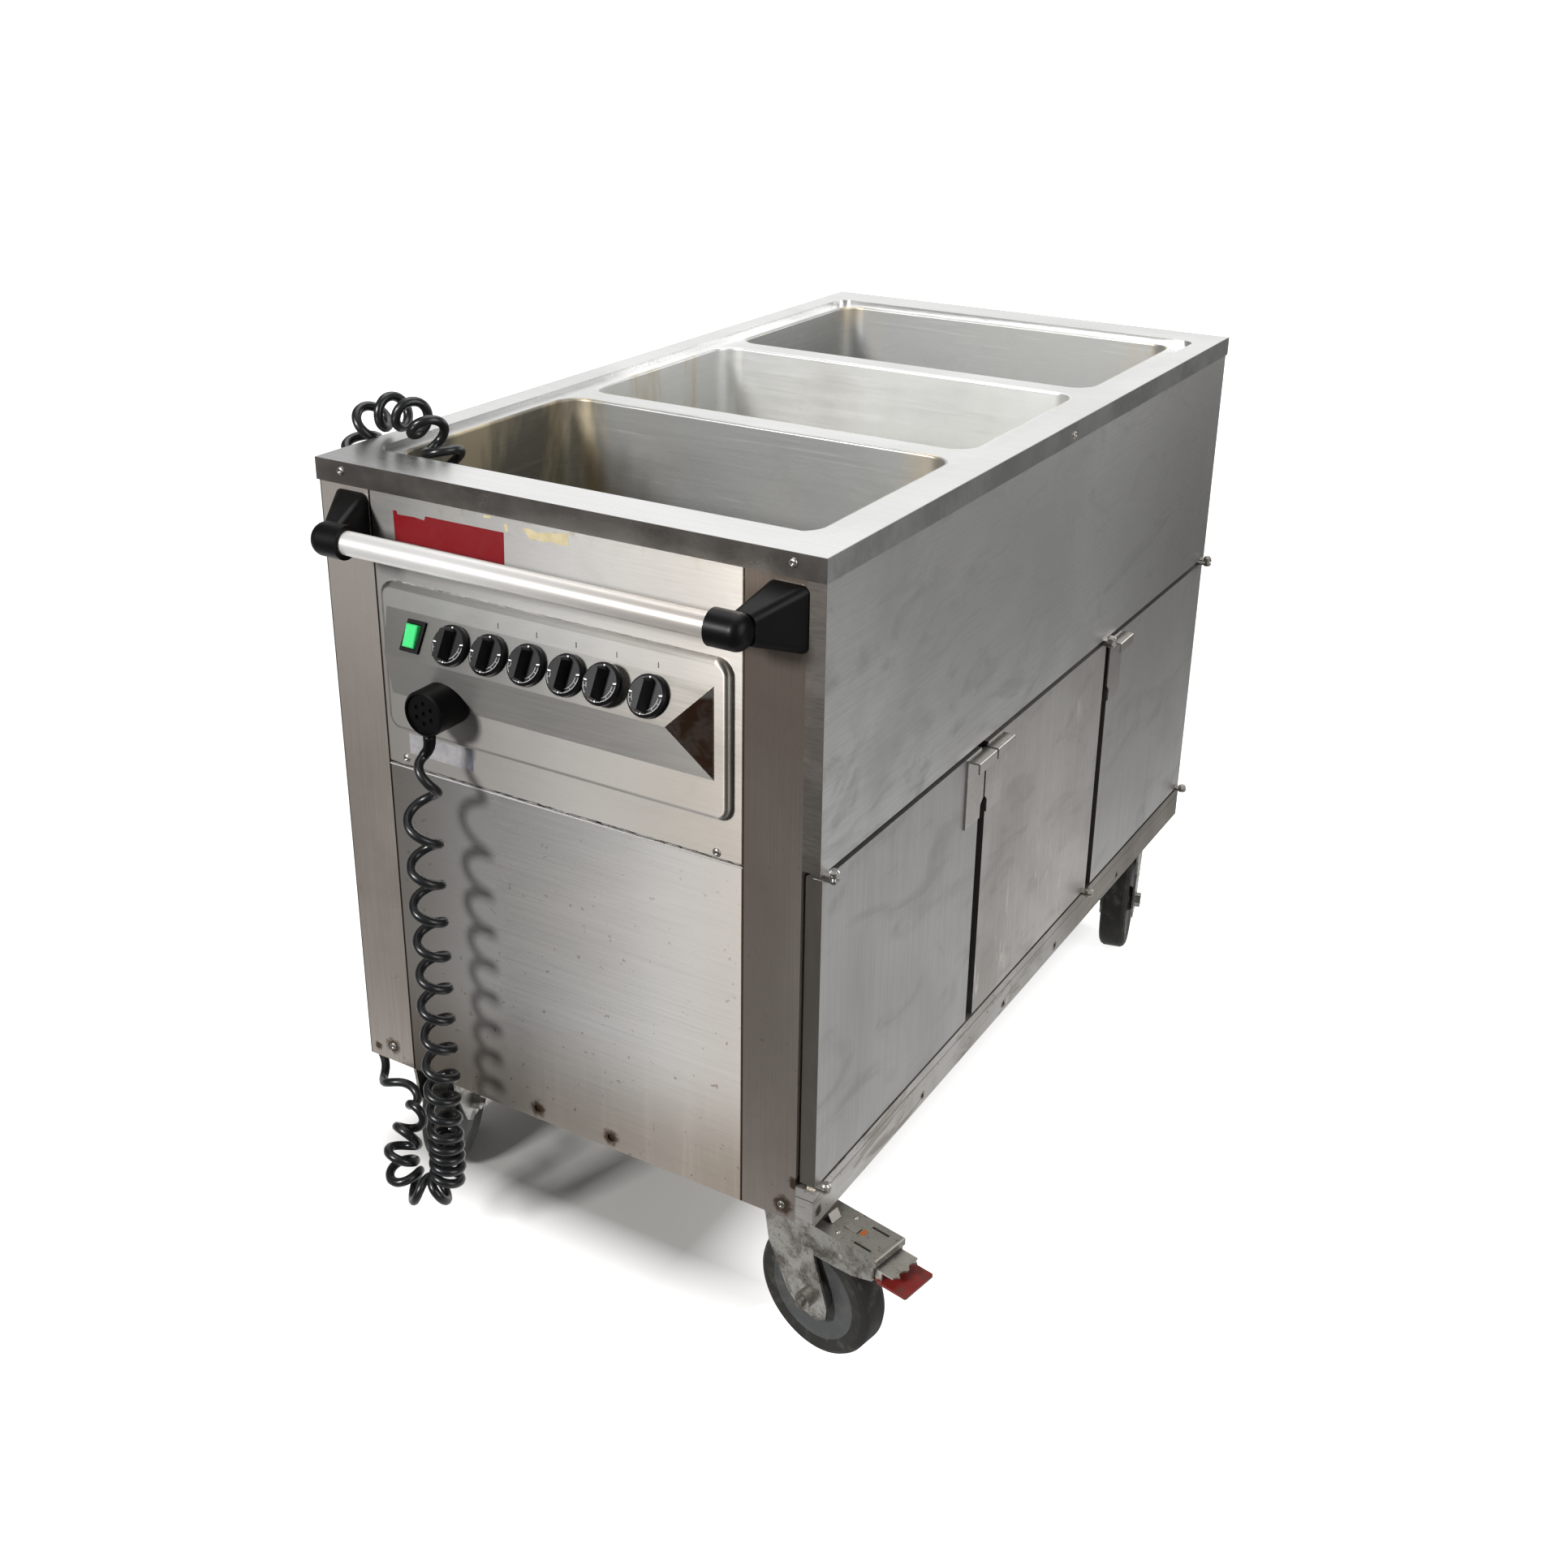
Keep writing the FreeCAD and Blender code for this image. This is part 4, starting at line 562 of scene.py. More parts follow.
def shadedAndStained(tree, place, shade):
    # Painted light makes the middle well paler and the rear well a little paler, painted shade darkens the front well
    # at its left end, and brown stains run down the corners
    x, y = axis(tree, place, "X"), axis(tree, place, "Y")
    middle = span(tree, farFrom(tree, y, 0), wellShadesAndStains["between"], (1, 0))
    rear = span(tree, y, wellShadesAndStains["between"], (0, 0.25))
    shade = mix(tree, product(tree, join(tree, "MAXIMUM", middle, rear), 0.7), shade, wellShadesAndStains["pale"])
    left = product(tree, fade(tree, x, (-0.19, -0.238)), span(tree, y, (-0.16, -0.20)))
    shade = mix(tree, left, shade, wellShadesAndStains["left"], "MULTIPLY")
    stain = cloud(tree, stretched(tree, place, (9, 9, 2.2)), 1, detail=5, rough=0.6, warp=0.5)
    corner = fade(tree, farFrom(tree, x, 0), (0.17, 0.235), (0.08, 1))
    return mix(tree, product(tree, fade(tree, stain, (0.44, 0.60), (0, 0.75)), corner), shade, wellShadesAndStains["stain"])


# The ridge's brown end, in mm, the painted shade on its underside, the painted shade on its up-facing strip and the
# yellow dirt under the lip, in metres up
ridgeLook = {
    "x": (120, 192), "z": (640, 765), "color": (0.085, 0.045, 0.028, 1), "under": (0.30, 0.29, 0.275, 1),
    "strip": (0.62, 0.62, 0.61, 1), "edge": 0.004, "leftEdge": 0.012, "dirtFrom": (0.874, 0.896),
    "dirt": (0.42, 0.34, 0.17, 1),
}


def rustedAndShaded(tree, place, shade, rough):
    look = ridgeLook
    low, high = spot(look["x"][0], 0, look["z"][0]), spot(look["x"][1], 0, look["z"][1])
    x, z = axis(tree, place, "X"), axis(tree, place, "Z")
    upwards = facing(tree, "Z")
    # Painted shade on faces that look down below the ridge's top
    under = product(tree, span(tree, upwards, (-0.03, -0.20), (0, 0.9)), span(tree, z, (high.z + 0.03, high.z)))
    shade = mix(tree, under, shade, look["under"])
    # Painted shade on faces that look up
    shade = mix(tree, span(tree, upwards, (0.04, 0.16)), shade, look["strip"], "MULTIPLY")
    turned = span(tree, facing(tree, "X"), (0.08, 0.3))
    wash = fade(tree, cloud(tree, place, 45, detail=5, rough=0.65, warp=0.5), (0.36, 0.60), (0.72, 1.0))
    left, right = span(tree, x, (low.x, low.x + look["leftEdge"])), span(tree, x, (high.x, high.x - look["edge"]))
    foot, top = span(tree, z, (low.z, low.z + look["edge"])), span(tree, z, (high.z, high.z - look["edge"]))
    rust = product(tree, left, right, foot, top, turned, wash)
    shade = mix(tree, rust, shade, look["color"])
    patches = fade(tree, cloud(tree, place, 38, detail=5, rough=0.7), (0.54, 0.68), (0, 0.5))
    shade = mix(tree, product(tree, span(tree, z, look["dirtFrom"]), patches), shade, look["dirt"])
    return shade, join(tree, "ADD", rough, product(tree, rust, 0.2))


# Plastics, rubber, paint and marks: colour, roughness, scale and height of the grain, share of dust and gloss
plainLooks = {
    "mouldingBlack": ((0.0022, 0.0022, 0.0024), (0.34, 0.46), (900, 0.00003), 0.008, 0.16),
    "knobBlack": ((0.0040, 0.0040, 0.0045), (0.34, 0.46), (1200, 0.00002), 0.01, 0.22),
    "cordBlack": ((0.0070, 0.0075, 0.0085), (0.26, 0.36), (500, 0.00003), 0.03, 0.50),
    "switchGreen": ((0.045, 0.58, 0.17), (0.24, 0.32), (900, 0.00001), 0.03, 0.5),
    "tyreGrey": ((0.017, 0.0165, 0.014), (0.60, 0.80), (260, 0.00010), 0.35, 0.3),
    "hubGrey": ((0.052, 0.054, 0.054), (0.46, 0.62), (240, 0.00008), 0.35, 0.4),
    "regulatorGrey": ((0.42, 0.42, 0.40), (0.45, 0.6), (500, 0.00003), 0.1, 0.5),
    "labelRed": ((0.16, 0.003, 0.006), (0.32, 0.44), (300, 0.00002), 0.04, 0.4),
    "tickWhite": ((0.95, 0.95, 0.94), (0.40, 0.55), (900, 0.00001), 0.15, 0.4),
    "tickGrey": ((0.34, 0.34, 0.34), (0.40, 0.55), (900, 0.00001), 0.15, 0.4),
    "rustOrange": ((0.34, 0.085, 0.012), (0.7, 0.85), (600, 0.0001), 0.5, 0.2),
    "markDark": ((0.030, 0.026, 0.022), (0.5, 0.65), (500, 0.00001), 0.2, 0.3),
}
dustColor = (0.16, 0.145, 0.12, 1)


def plain(name):
    color, roughness, (grain, height), dusty, gloss = plainLooks[name]
    color = (*color, 1)
    material, tree, shader = newMaterial(name, color, 0.4)
    shader.inputs["Specular IOR Level"].default_value = gloss
    place = coordinates(tree)
    patches = cloud(tree, place, 26, detail=4, rough=0.6)
    fine = cloud(tree, place, grain, rough=0.6)
    dust = fade(tree, cloud(tree, place, 60, detail=5, rough=0.65), (0.48, 0.74), (0, dusty))
    rough = join(tree, "ADD", span(tree, patches, (0.3, 0.7), roughness), product(tree, dust, 0.25))
    link(tree, mix(tree, dust, color, dustColor), shader.inputs["Base Color"])
    link(tree, rough, shader.inputs["Roughness"])
    bumped(tree, shader, fine, height, 0.8)
    return material


zincLooks = {
    "castorZinc": {"bright": (0.34, 0.33, 0.305), "grime": (0.10, 0.09, 0.075), "rust": 0.8},
    "pedalZinc": {"bright": (0.60, 0.585, 0.54), "grime": (0.16, 0.14, 0.10), "rust": 0.3},
}
zincTones = {"rust": (0.16, 0.06, 0.02, 1), "lit": (0.52, 0.50, 0.455, 1)}
padPaint = {"below": (0.1489, 0.1483), "red": (0.16, 0.010, 0.007, 1), "bare": (0.060, 0.030, 0.018, 1)}


def zinc(name):
    # Plated castor steel with grime in it and rust freckles, with painted light making it paler where it faces up
    look = zincLooks[name]
    bright, grimy = (*look["bright"], 1), (*look["grime"], 1)
    material, tree, shader = newMaterial(name, bright, 0.4, 0.9)
    place = coordinates(tree)
    patches = cloud(tree, place, 30, detail=7, rough=0.7, warp=0.4)
    grime = fade(tree, patches, (0.40, 0.64))
    pits = fade(tree, cloud(tree, place, 260, rough=0.6), (0.60, 0.68), (0, 0.7))
    rust = fade(tree, cloud(tree, place, 75, detail=5, rough=0.7), (0.60, 0.70), (0, look["rust"]))
    shade = mix(tree, pits, mix(tree, grime, bright, grimy), scaled(grimy, 0.5))
    shade = mix(tree, rust, shade, zincTones["rust"])
    rough = join(tree, "ADD", span(tree, grime, (0, 1), (0.34, 0.52)), product(tree, rust, 0.3))
    clean = join(tree, "SUBTRACT", 1.0, join(tree, "MAXIMUM", pits, rust))
    # Painted light: faces that look up are paler
    flat = span(tree, facing(tree, "Z"), (0.6, 0.9), (0, 0.55))
    shade = mix(tree, product(tree, flat, clean), shade, zincTones["lit"])
    if name == "pedalZinc":
        # The pad below is painted red, its edge rubbed bare
        painted = span(tree, axis(tree, place, "Z"), padPaint["below"])
        chips = fade(tree, cloud(tree, place, 55, detail=6, rough=0.7), (0.50, 0.66), (0, 0.75))
        shade = mix(tree, painted, shade, mix(tree, chips, padPaint["red"], padPaint["bare"]))
        link(tree, join(tree, "SUBTRACT", 0.9, product(tree, painted, 0.9)), shader.inputs["Metallic"])
    link(tree, shade, shader.inputs["Base Color"])
    link(tree, rough, shader.inputs["Roughness"])
    bumped(tree, shader, patches, 0.0002, 0.5)
    return material


plateLook = {"pale": (0.60, 0.59, 0.60, 1), "worn": (0.40, 0.39, 0.41, 1), "blue": (0.13, 0.15, 0.24, 1),
             "blueFrom": (-128, -120)}


def silverLabel():
    material, tree, shader = newMaterial("plateSilver", (0.55, 0.55, 0.56, 1), 0.35, 0.6)
    place = coordinates(tree)
    worn = fade(tree, cloud(tree, place, 60, detail=5, rough=0.6), (0.35, 0.7))
    blue = span(tree, axis(tree, place, "X"), [spot(x, 0, 0).x for x in plateLook["blueFrom"]], (0, 0.8))
    shade = mix(tree, worn, plateLook["pale"], plateLook["worn"])
    link(tree, mix(tree, blue, shade, plateLook["blue"]), shader.inputs["Base Color"])
    link(tree, span(tree, worn, (0, 1), (0.28, 0.45)), shader.inputs["Roughness"])
    return material


def glue():
    material, tree, shader = newMaterial("glueTrace", (0.45, 0.37, 0.20, 1), 0.6)
    place = coordinates(tree)
    shade = mix(tree, cloud(tree, place, 120, detail=4, rough=0.6), (0.62, 0.55, 0.36, 1), (0.34, 0.27, 0.13, 1))
    link(tree, shade, shader.inputs["Base Color"])
    bumped(tree, shader, cloud(tree, place, 400), 0.0001, 0.6)
    return material


# New pieces
def keep(mesh, name, body, material=None, smooth=True):
    # Makes an object of a bmesh, at the origin, riding on its body
    data = bpy.data.meshes.new(name)
    bmesh.ops.recalc_face_normals(mesh, faces=mesh.faces[:])
    mesh.to_mesh(data)
    mesh.free()
    for face in data.polygons:
        face.use_smooth = smooth
    made = bpy.data.objects.new(name, data)
    bpy.context.scene.collection.objects.link(made)
    if material:
        data.materials.append(material)
    if body:
        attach(made, body)
    return made


def thicken(mesh, faces, shift):
    # Gives flat faces a thickness
    lifted = bmesh.ops.extrude_face_region(mesh, geom=faces)
    moved = [part for part in lifted["geom"] if isinstance(part, bmesh.types.BMVert)]
    bmesh.ops.translate(mesh, vec=shift, verts=moved)


def sheetPiece(name, corners, shift, material):
    mesh = bmesh.new()
    face = mesh.faces.new([mesh.verts.new(place) for place in corners])
    thicken(mesh, [face], shift)
    return keep(mesh, name, "counter_frame", material, smooth=False)


# Curly cord: the route's points with the curl's radius and pitch, in mm, as in the part's source
cordLook = {
    "diameter": 0.0105, "pointsPerTurn": 14, "straightBelow": 0.002, "straightStep": 0.018, "length": 4.507,
    "guideSteps": 24, "steps": 4, "roundSteps": 3,
}
cordRoute = [
    (-135, 45, 670, 0, 64), (-135, 45, 656, 0, 64), (-135, 45, 650, 0, 64), (-136, 48, 636, 5, 64),
    (-137, 54, 620, 12, 64), (-138, 58, 600, 16.2, 72), (-139, 60, 560, 16.2, 62), (-139, 60, 515, 16.2, 47),
    (-139, 60, 430, 16.2, 44), (-139, 60, 370, 16.2, 38), (-139, 60, 300, 16.2, 40), (-139, 60, 250, 16.2, 36),
    (-139, 60, 225, 16.2, 27), (-139, 60, 180, 16.2, 26), (-139, 60, 166, 16.2, 15), (-139, 60, 124, 16.2, 12.9),
    (-141, 61, 105, 16.2, 23), (-152, 65, 89, 16.2, 32), (-174, 71, 86, 16.2, 32), (-191, 76, 100, 16.2, 28),
    (-196, 77, 119, 16.2, 22), (-198, 66, 140, 16.2, 25), (-203, 44, 155, 13, 30), (-214, 20, 164, 7, 50),
    (-236, 13.5, 165, 6, 70), (-262, 12.5, 166, 6, 76), (-288, 3, 166, 6, 76), (-309, -18, 168, 6, 76),
    (-321, -46, 178, 6, 80), (-329, -72, 210, 9, 90), (-331, -84, 270, 12, 105), (-331, -84, 400, 12, 120),
    (-331, -84, 600, 12, 120), (-331, -84, 760, 13, 100), (-331, -85, 820, 15, 72), (-332, -86, 870, 16.2, 50),
    (-329, -92, 920, 16.2, 34), (-311, -97, 944, 16.2, 30), (-281, -103, 950, 16.2, 29), (-249, -98, 946, 16.2, 30),
    (-222, -92, 927, 16.2, 32), (-205, -98, 897, 16.2, 36), (-196, -102, 855, 16.2, 40), (-190, -108, 812, 16.2, 44),
    (-188, -126, 774, 14, 50), (-188, -152, 749, 8, 60), (-188, -166, 742.5, 2, 60), (-188, -175, 740.5, 0, 60),
    (-188, -178, 740.5, 0, 60), (-188, -190, 740.5, 0, 60),
]


def splineCurve(name, points, steps, bevel=0.0):
    data = bpy.data.curves.new(name, "CURVE")
    data.dimensions = "3D"
    spline = data.splines.new("NURBS")
    spline.points.add(len(points) - 1)
    for place, point in zip(points, spline.points):
        point.co = (*place, 1)
    spline.order_u = 3
    spline.use_endpoint_u = True
    spline.resolution_u = steps
    data.resolution_u = steps
    data.bevel_depth = bevel
    data.bevel_resolution = cordLook["roundSteps"]
    data.use_fill_caps = True
    made = bpy.data.objects.new(name, data)
    bpy.context.scene.collection.objects.link(made)
    return made


def splinePoints(points):
    # The points of the spline through these control points
    guide = splineCurve("guide", points, cordLook["guideSteps"])
    mesh = bpy.data.meshes.new_from_object(guide)
    found = [vertex.co.copy() for vertex in mesh.vertices]
    bpy.data.objects.remove(guide)
    bpy.data.meshes.remove(mesh)
    return found


def makeCord():
    look = cordLook
    middle = [spot(x, frontFace - ahead, z) for x, ahead, z, radius, pitch in cordRoute]
    turns = [0.0]
    for i in range(len(middle) - 1):
        density = (1 / cordRoute[i][4] + 1 / cordRoute[i + 1][4]) / 2
        turns.append(turns[-1] + (middle[i + 1] - middle[i]).length / mm * density)
    line = splinePoints(middle)
    curls = splinePoints([(row[3] * mm, turn, 0) for row, turn in zip(cordRoute, turns)])
    swell = 1 / math.cos(math.pi / look["pointsPerTurn"])
    side = Vector((1, 0, 0))
    points, lastTurn, lastPlace = [line[0]], 0.0, line[0]
    for i in range(1, len(line) - 1):
        ahead = (line[i + 1] - line[i - 1]).normalized()
        side = (side - ahead * side.dot(ahead)).normalized()
        radius, turn = curls[i].x * swell, curls[i].y
        angle = 2 * math.pi * turn
        place = line[i] + (side * math.cos(angle) + side.cross(ahead) * math.sin(angle)) * radius
        if radius > look["straightBelow"]:
            stepDone = turn - lastTurn >= 1 / look["pointsPerTurn"]
        else:
            stepDone = (place - lastPlace).length >= look["straightStep"]
        if stepDone:
            points.append(place)
            lastTurn, lastPlace = turn, place
    points.append(line[-1])
    cord = splineCurve("curlyCord", points, look["steps"], look["diameter"] / 2)
    cord.data.materials.append(materials["cordBlack"])
    return cord, points


# Tapered sleeve at the cord's exit: distance along the cord from the outlet's underside and radius, in mm
sleeveLook = {
    "start": 660.6, "reach": 30, "sides": 20,
    "rings": [(0, 5.2), (0.2, 6.5), (4, 6.7), (9, 6.5), (14, 6.2), (19, 5.9), (24, 5.6), (27, 5.3)],
}


def makeSleeve(points):
    line = splinePoints(points)
    run, marks = 0.0, []
    first = next(i for i, place in enumerate(line) if place.z < sleeveLook["start"] * mm)
    for i in range(first, len(line) - 1):
        marks.append((run, line[i], (line[i + 1] - line[i]).normalized()))
        run += (line[i + 1] - line[i]).length / mm
        if run > sleeveLook["reach"]:
            break
    mesh = bmesh.new()
    loops = []
    for distance, radius in sleeveLook["rings"]:
        passed, place, ahead = min(marks, key=lambda mark: abs(mark[0] - distance))
        turn = ahead.to_track_quat("Z", "X").to_matrix().to_4x4()
        matrix = Matrix.Translation(place + ahead * (distance - passed) * mm) @ turn
        made = bmesh.ops.create_circle(mesh, segments=sleeveLook["sides"], radius=radius * mm, matrix=matrix)
        loops.append(made["verts"])
    for a, b in zip(loops, loops[1:]):
        edges = [edge for edge in mesh.edges if all(v in a for v in edge.verts) or all(v in b for v in edge.verts)]
        bmesh.ops.bridge_loops(mesh, edges=edges)
    return keep(mesh, "cordSleeve", "counter_frame", materials["mouldingBlack"])


# Screws on the lip, the control panel and the feet of the posts, in mm: x, y, z, the side they face, rust
screwLook = {"radius": 4.6, "rise": 2.1, "socket": 1.9, "depth": 0.9, "sides": 20, "merge": 0.01,
             "dome": [(1, 0), (1, 0.35), (0.86, 0.72), (0.6, 0.95)]}
screwPlaces = {
    "lipScrewLeft": (-270, -565, 910, "front", False), "lipScrewRight": (270, -565, 910, "front", False),
    "panelScrewLeft": (-211, -562, 597.5, "front", False), "panelScrewRight": (187, -562, 595, "front", False),
    "footScrewLeft": (-267, -562, 208, "front", True), "footScrewRight": (266, -562, 203, "front", True),
    "lipScrewSide": (305, 6, 905, "right", False),
}


def makeScrew(name, x, y, z, side, rusty):
    look = screwLook
    mesh = bmesh.new()
    radius, rise, socket = look["radius"] * mm, look["rise"] * mm, look["socket"] * mm
    bottom = rise - look["depth"] * mm
    outline = [(radius * across, rise * up) for across, up in look["dome"]]
    outline += [(socket, rise), (socket, bottom), (0, bottom)]
    made = [mesh.verts.new((across, 0, up)) for across, up in outline]
    edges = [mesh.edges.new(pair) for pair in zip(made, made[1:])]
    bmesh.ops.spin(mesh, geom=made + edges, cent=(0, 0, 0), axis=(0, 0, 1), angle=2 * math.pi,
                   steps=look["sides"], use_merge=True)
    bmesh.ops.remove_doubles(mesh, verts=mesh.verts[:], dist=look["merge"] * mm)
    turn = Matrix.Rotation(math.pi / 2, 4, "X" if side == "front" else "Y")
    bmesh.ops.transform(mesh, matrix=Matrix.Translation(spot(x, y, z)) @ turn, verts=mesh.verts[:])
    return keep(mesh, name, "counter_frame", materials["castorZinc" if rusty else "hingeSteel"])


# Scales on the dials, in degrees from the top and mm over the knob's foot
dialLook = {
    "count": 6, "first": -118.0, "pitch": 48.5, "row": 166.0, "lift": 1.0, "pulled": 5, "pulledBy": 7.5,
    "face": 7.14, "sheet": 0.1, "stepAngle": 5,
    "ticks": [(0, 15.2, 19.0, 5.5), (80, 15.2, 18.9, 4.5), (180, 14.4, 18.9, 5.5), (272, 15.2, 18.9, 4.5)],
    "splits": [(angle, 14.8, 18.4, 2.0) for angle in (108, 135, 205, 232, 252)],
    "rings": [(90, 174, 14.6, 15.3), (90, 174, 18.0, 18.7), (186, 264, 14.6, 15.3), (186, 264, 18.0, 18.7)],
}
stripLook = {"tilt": math.atan2(24, 42), "ahead": 9, "drop": 145}


def stripPlace(x, lift):
    # The frame of a control on the sloped strip: local y runs up the strip, local z stands out of it
    tilt, drop = stripLook["tilt"], stripLook["drop"]
    normal = Vector((0, -math.cos(tilt), math.sin(tilt)))
    down = Vector((0, -math.sin(tilt), -math.cos(tilt)))
    top = Vector((x, frontFace - stripLook["ahead"], deckHeight - drop))
    centre = top + down * ((dialLook["row"] - drop) / math.cos(tilt)) + normal * lift
    turn = Matrix(((1, 0, 0), -down, normal)).transposed().to_4x4()
    return Matrix.Translation(spot(*centre)) @ turn


def ringPiece(mesh, start, end, inner, outer, low, high):
    # A flat arc between two radii, angles clockwise from the top
    a = math.radians(90 - start)
    pair = [mesh.verts.new((r * mm * math.cos(a), r * mm * math.sin(a), high * mm)) for r in (inner, outer)]
    edge = mesh.edges.new(pair)
    before = set(mesh.faces)
    turn, steps = math.radians(start - end), max(1, round(abs(end - start) / dialLook["stepAngle"]))
    bmesh.ops.spin(mesh, geom=pair + [edge], cent=(0, 0, 0), axis=(0, 0, 1), angle=turn, steps=steps)
    thicken(mesh, [face for face in mesh.faces if face not in before], (0, 0, (low - high) * mm))


def spread(ticks):
    return [(angle - width / 2, angle + width / 2, inner, outer) for angle, inner, outer, width in ticks]


def makeScale(i):
    look = dialLook
    lift = look["lift"] + (look["pulledBy"] if i == look["pulled"] else 0)
    place = stripPlace(look["first"] + look["pitch"] * (i - 1), lift)
    for name, parts, finish in (
        ("Ticks", spread(look["ticks"]), "tickWhite"),
        ("Rings", look["rings"] + spread(look["splits"]), "tickGrey"),
    ):
        mesh = bmesh.new()
        for part in parts:
            ringPiece(mesh, *part, look["face"] - look["sheet"], look["face"])
        bmesh.ops.transform(mesh, matrix=place, verts=mesh.verts[:])
        keep(mesh, "knob%dScale%s" % (i, name), "knob_%d_dial" % i, materials[finish], smooth=False)


# Index lines over the knobs, in mm
indexLook = {"size": (1.0, 0.12, 6.0), "aside": 3, "drop": 137}


def makeBlock(name, size, matrix, body, material, rounding=0.0):
    mesh = bmesh.new()
    bmesh.ops.create_cube(mesh, size=1, matrix=Matrix.Diagonal((*(part * mm for part in size), 1)))
    if rounding:
        bmesh.ops.bevel(mesh, geom=mesh.edges[:], offset=rounding * mm, segments=2, profile=0.5, affect="EDGES",
                        material=-1)
    bmesh.ops.transform(mesh, matrix=matrix, verts=mesh.verts[:])
    return keep(mesh, name, body, material, smooth=False)


def makeIndexLine(i):
    x = dialLook["first"] + dialLook["pitch"] * (i - 1) + indexLook["aside"]
    place = Matrix.Translation(spot(x, frontFace - stripLook["ahead"], deckHeight - indexLook["drop"]))
    makeBlock("indexLine%d" % i, indexLook["size"], place, "counter_frame", materials["markDark"])


# Fittings on the two brakes, in mm: size, reach along the castor's trail, across it, height, tilt, finish, rounding
brakeFittings = {
    "brakeTab": ((1.6, 15, 11), (60, -2, 177.0, -0.55), "barSteel", 0.3),
    # A thin dark sheet over the slot: painted shade standing in for its depth
    "brakeSlotShade": ((9, 17, 0.3), (56, -2, 172.1, 0.0), "markDark", 0.0),
    "brakeRust": ((5.5, 8, 0.9), (97, 2, 172.3, 0.1), "rustOrange", 0.3),
    # A strip of bright steel along the plate's front fold: a painted highlight
    "brakeEdgeHighlight": ((2.2, 49.6, 1.0), (133.2, 0, 171.8, 0.0), "barSteel", 0.4),
    "brakeClamp": ((17, 10, 2.2), (84, 0, 173.1, 0.0), "castorZinc", 0.5),
}
rivetLook = {"reach": 76, "across": (-15, 15), "high": 172.1, "radius": 2.6, "rise": 1.4, "segments": (14, 8)}
brakeTurns = {"fr": math.radians(-10.7), "rl": math.radians(-64.0)}
castorPlace = (248.5, 507)


def castorSpot(key, reach, across, high, tilt=0.0):
    # A place on a castor: reach along its trail, across it, and height, with a tilt about the cross line
    x, y = castorPlace[0] * (1 if key[1] == "r" else -1), castorPlace[1] * (-1 if key[0] == "f" else 1)
    turn = Matrix.Rotation(brakeTurns[key], 4, "Z")
    shift = Matrix.Translation(Vector((reach, across, high)) * mm)
    return Matrix.Translation(spot(x, y, 0)) @ turn @ shift @ Matrix.Rotation(tilt, 4, "Y")


def makeBrakeFittings(key):
    body, slot, look = "castor_%s" % key, "castor_zinc", rivetLook
    for name, (size, place, finish, rounding) in brakeFittings.items():
        makeBlock(name + key, size, castorSpot(key, *place), body, materials[finish], rounding)
    around, upwards = look["segments"]
    for n, across in enumerate(look["across"], 1):
        size = Matrix.Diagonal((look["radius"] * mm, look["radius"] * mm, look["rise"] * mm, 1))
        matrix = castorSpot(key, look["reach"], across, look["high"]) @ size
        mesh = bmesh.new()
        bmesh.ops.create_uvsphere(mesh, u_segments=around, v_segments=upwards, radius=1, matrix=matrix)
        keep(mesh, "brakeRivet%s%d" % (key, n), body, materials["hingeSteel"])


# The rounded upper edge of the lower front panel, in brighter steel as a painted highlight: depth and height, and its
# run, in mm
trimLook = {
    "outline": [(-0.15, 585.2), (-0.15, 586.2), (0.55, 587.0), (1.2, 587.1), (1.2, 585.2)], "left": -236, "length": 453,
}


def makeTrim():
    corners = [spot(trimLook["left"], frontFace + y, z) for y, z in trimLook["outline"]]
    return sheetPiece("lowerPanelEdgeHighlight", corners, (trimLook["length"] * mm, 0, 0), materials["barSteel"])


# Flat stickers and traces: outline in mm on the front face, x and z
stickerSheet = {"lift": 0.12, "thickness": 0.1}
stickers = {
    "redLabel": ([
        (-204.6, 878), (-199.5, 878.4), (-198.8, 874.6), (-176, 875.4), (-163, 874.2), (-161.5, 878.8), (-60.8, 879.2),
        (-61.8, 845.5), (-204.2, 845.8),
    ], "labelRed"),
    "ratingLabel": ([(-205, 628.5), (-118, 629), (-118, 605), (-205, 605)], "plateSilver"),
    "glueTraceLarge": ([
        (-37, 887.5), (-29, 889), (-20, 886.5), (-8, 888.5), (4, 889.5), (18, 892.5), (18.5, 880), (6, 878.6),
        (-2, 880.6), (-12, 878), (-23, 879.8), (-27, 876.8),
    ], "glueTrace"),
    "glueTraceSmall": ([(-60, 888), (-55.5, 889), (-55, 881.5), (-58.5, 880)], "glueTrace"),
    "glueTraceEdge": ([(-86, 893.5), (-76, 894), (-76.5, 891), (-85, 890.8)], "glueTrace"),
}


def makeSticker(name, outline, finish):
    corners = [spot(x, frontFace - stickerSheet["lift"], z) for x, z in outline]
    return sheetPiece(name, corners, (0, stickerSheet["thickness"] * mm, 0), materials[finish])


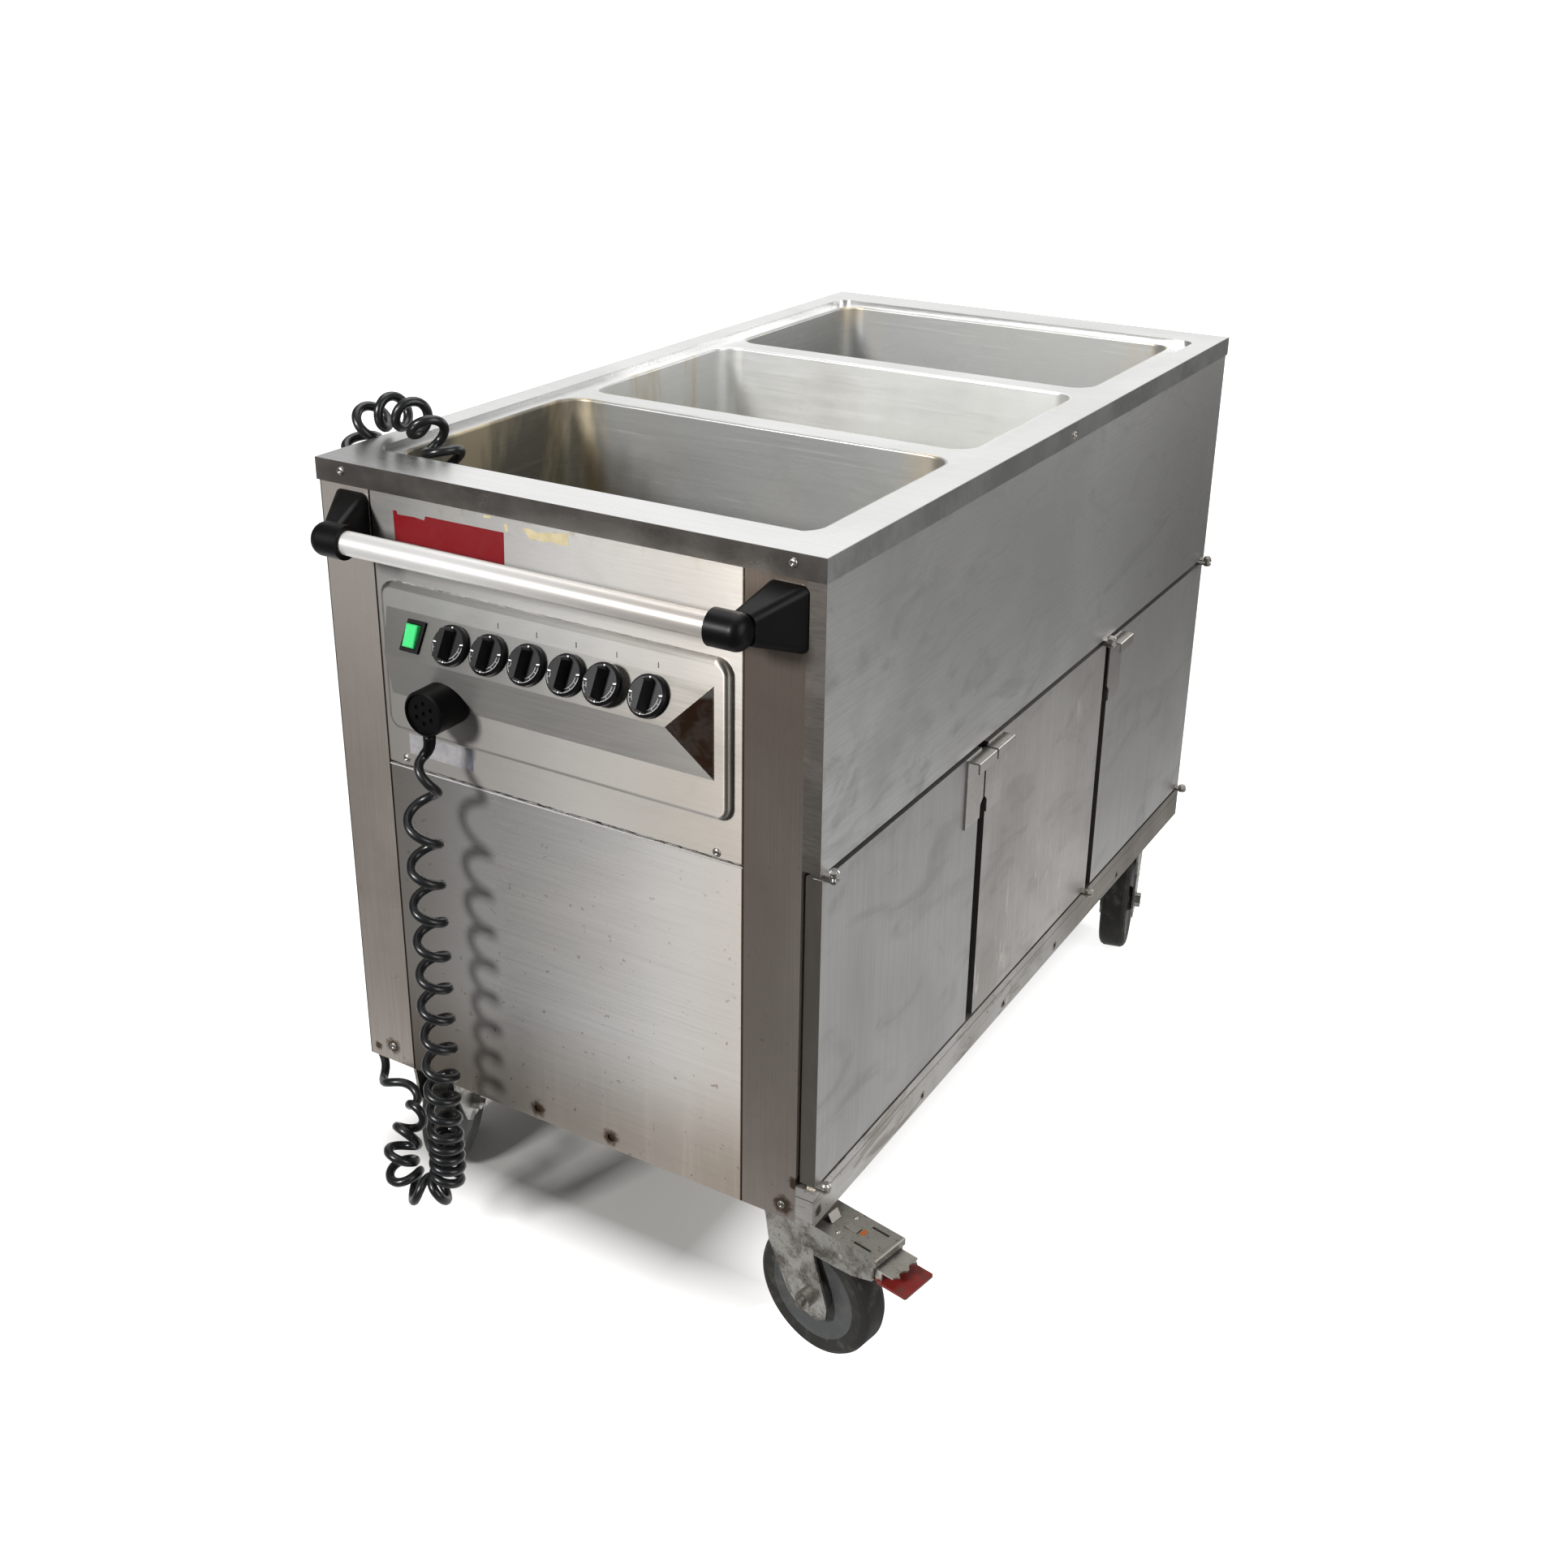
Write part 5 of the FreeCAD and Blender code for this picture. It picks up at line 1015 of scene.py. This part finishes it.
# What each node is made of
castors, braked, leaves = ("fl", "fr", "rl", "rr"), ("fr", "rl"), ("front", "middle", "rear")
knobs = range(1, dialLook["count"] + 1)
finishes = {
    "deckSteel": ["top_deck"],
    "controlSteel": ["control_panel"],
    "frontSteel": ["lower_front_panel"],
    "postSteel": ["front_posts", "rear_posts"],
    "sideSteel": ["side_panel_right", "side_panel_left", "rear_panel"],
    "doorSteel": ["door_front", "door_rear"],
    "wornDoorSteel": ["door_middle"],
    "skirtSteel": ["side_skirt"],
    "wellSteel": ["well_front", "well_middle", "well_rear"],
    "hiddenSteel": ["base_channels", "cupboard_floor", "cupboard_ceiling", "cupboard_partitions", "well_heaters"],
    "hingeSteel": ["hinge_lugs"] + ["door_%s_%s" % (leaf, part) for leaf in leaves for part in ("pins", "handle")],
    "barSteel": ["push_bar"],
    "mouldingBlack": ["push_bar_bracket_left", "push_bar_bracket_right", "cord_outlet", "rocker_bezel", "cord_plug"],
    "switchGreen": ["rocker_button"],
    "regulatorGrey": ["heat_regulators"],
    "knobBlack": ["knob_%d" % i for i in knobs],
    "castorZinc": ["castor_plates"] + ["castor_%s_fork" % key for key in castors]
                  + ["castor_%s_brake_plate" % key for key in braked],
    "pedalZinc": ["castor_%s_pedal" % key for key in braked],
    "tyreGrey": ["castor_%s_tyre" % key for key in castors],
    "hubGrey": ["castor_%s_hub" % key for key in castors],
}

print("materials")
materials = {}
for make, names in ((steel, steelLooks), (plain, plainLooks), (zinc, zincLooks)):
    materials.update({name: make(name) for name in names})
materials.update({"plateSilver": silverLabel(), "glueTrace": glue()})
for finish, names in finishes.items():
    for name in names:
        nodes[name].data.materials.clear()
        nodes[name].data.materials.append(materials[finish])

print("camera and studio")
makeCamera()
makeStudio()

print("curly cord")
cord, cordPoints = makeCord()
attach(cord, "counter_frame")
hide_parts("spiral_cord")

print("screws and labels")
for name, values in screwPlaces.items():
    makeScrew(name, *values)
for name, (outline, finish) in stickers.items():
    makeSticker(name, outline, finish)

print("dial scales, edges and brake fittings")
for i in knobs:
    makeScale(i)
    if i > 1:
        makeIndexLine(i)
makeTrim()
makeSleeve(cordPoints)
for key in braked:
    makeBrakeFittings(key)
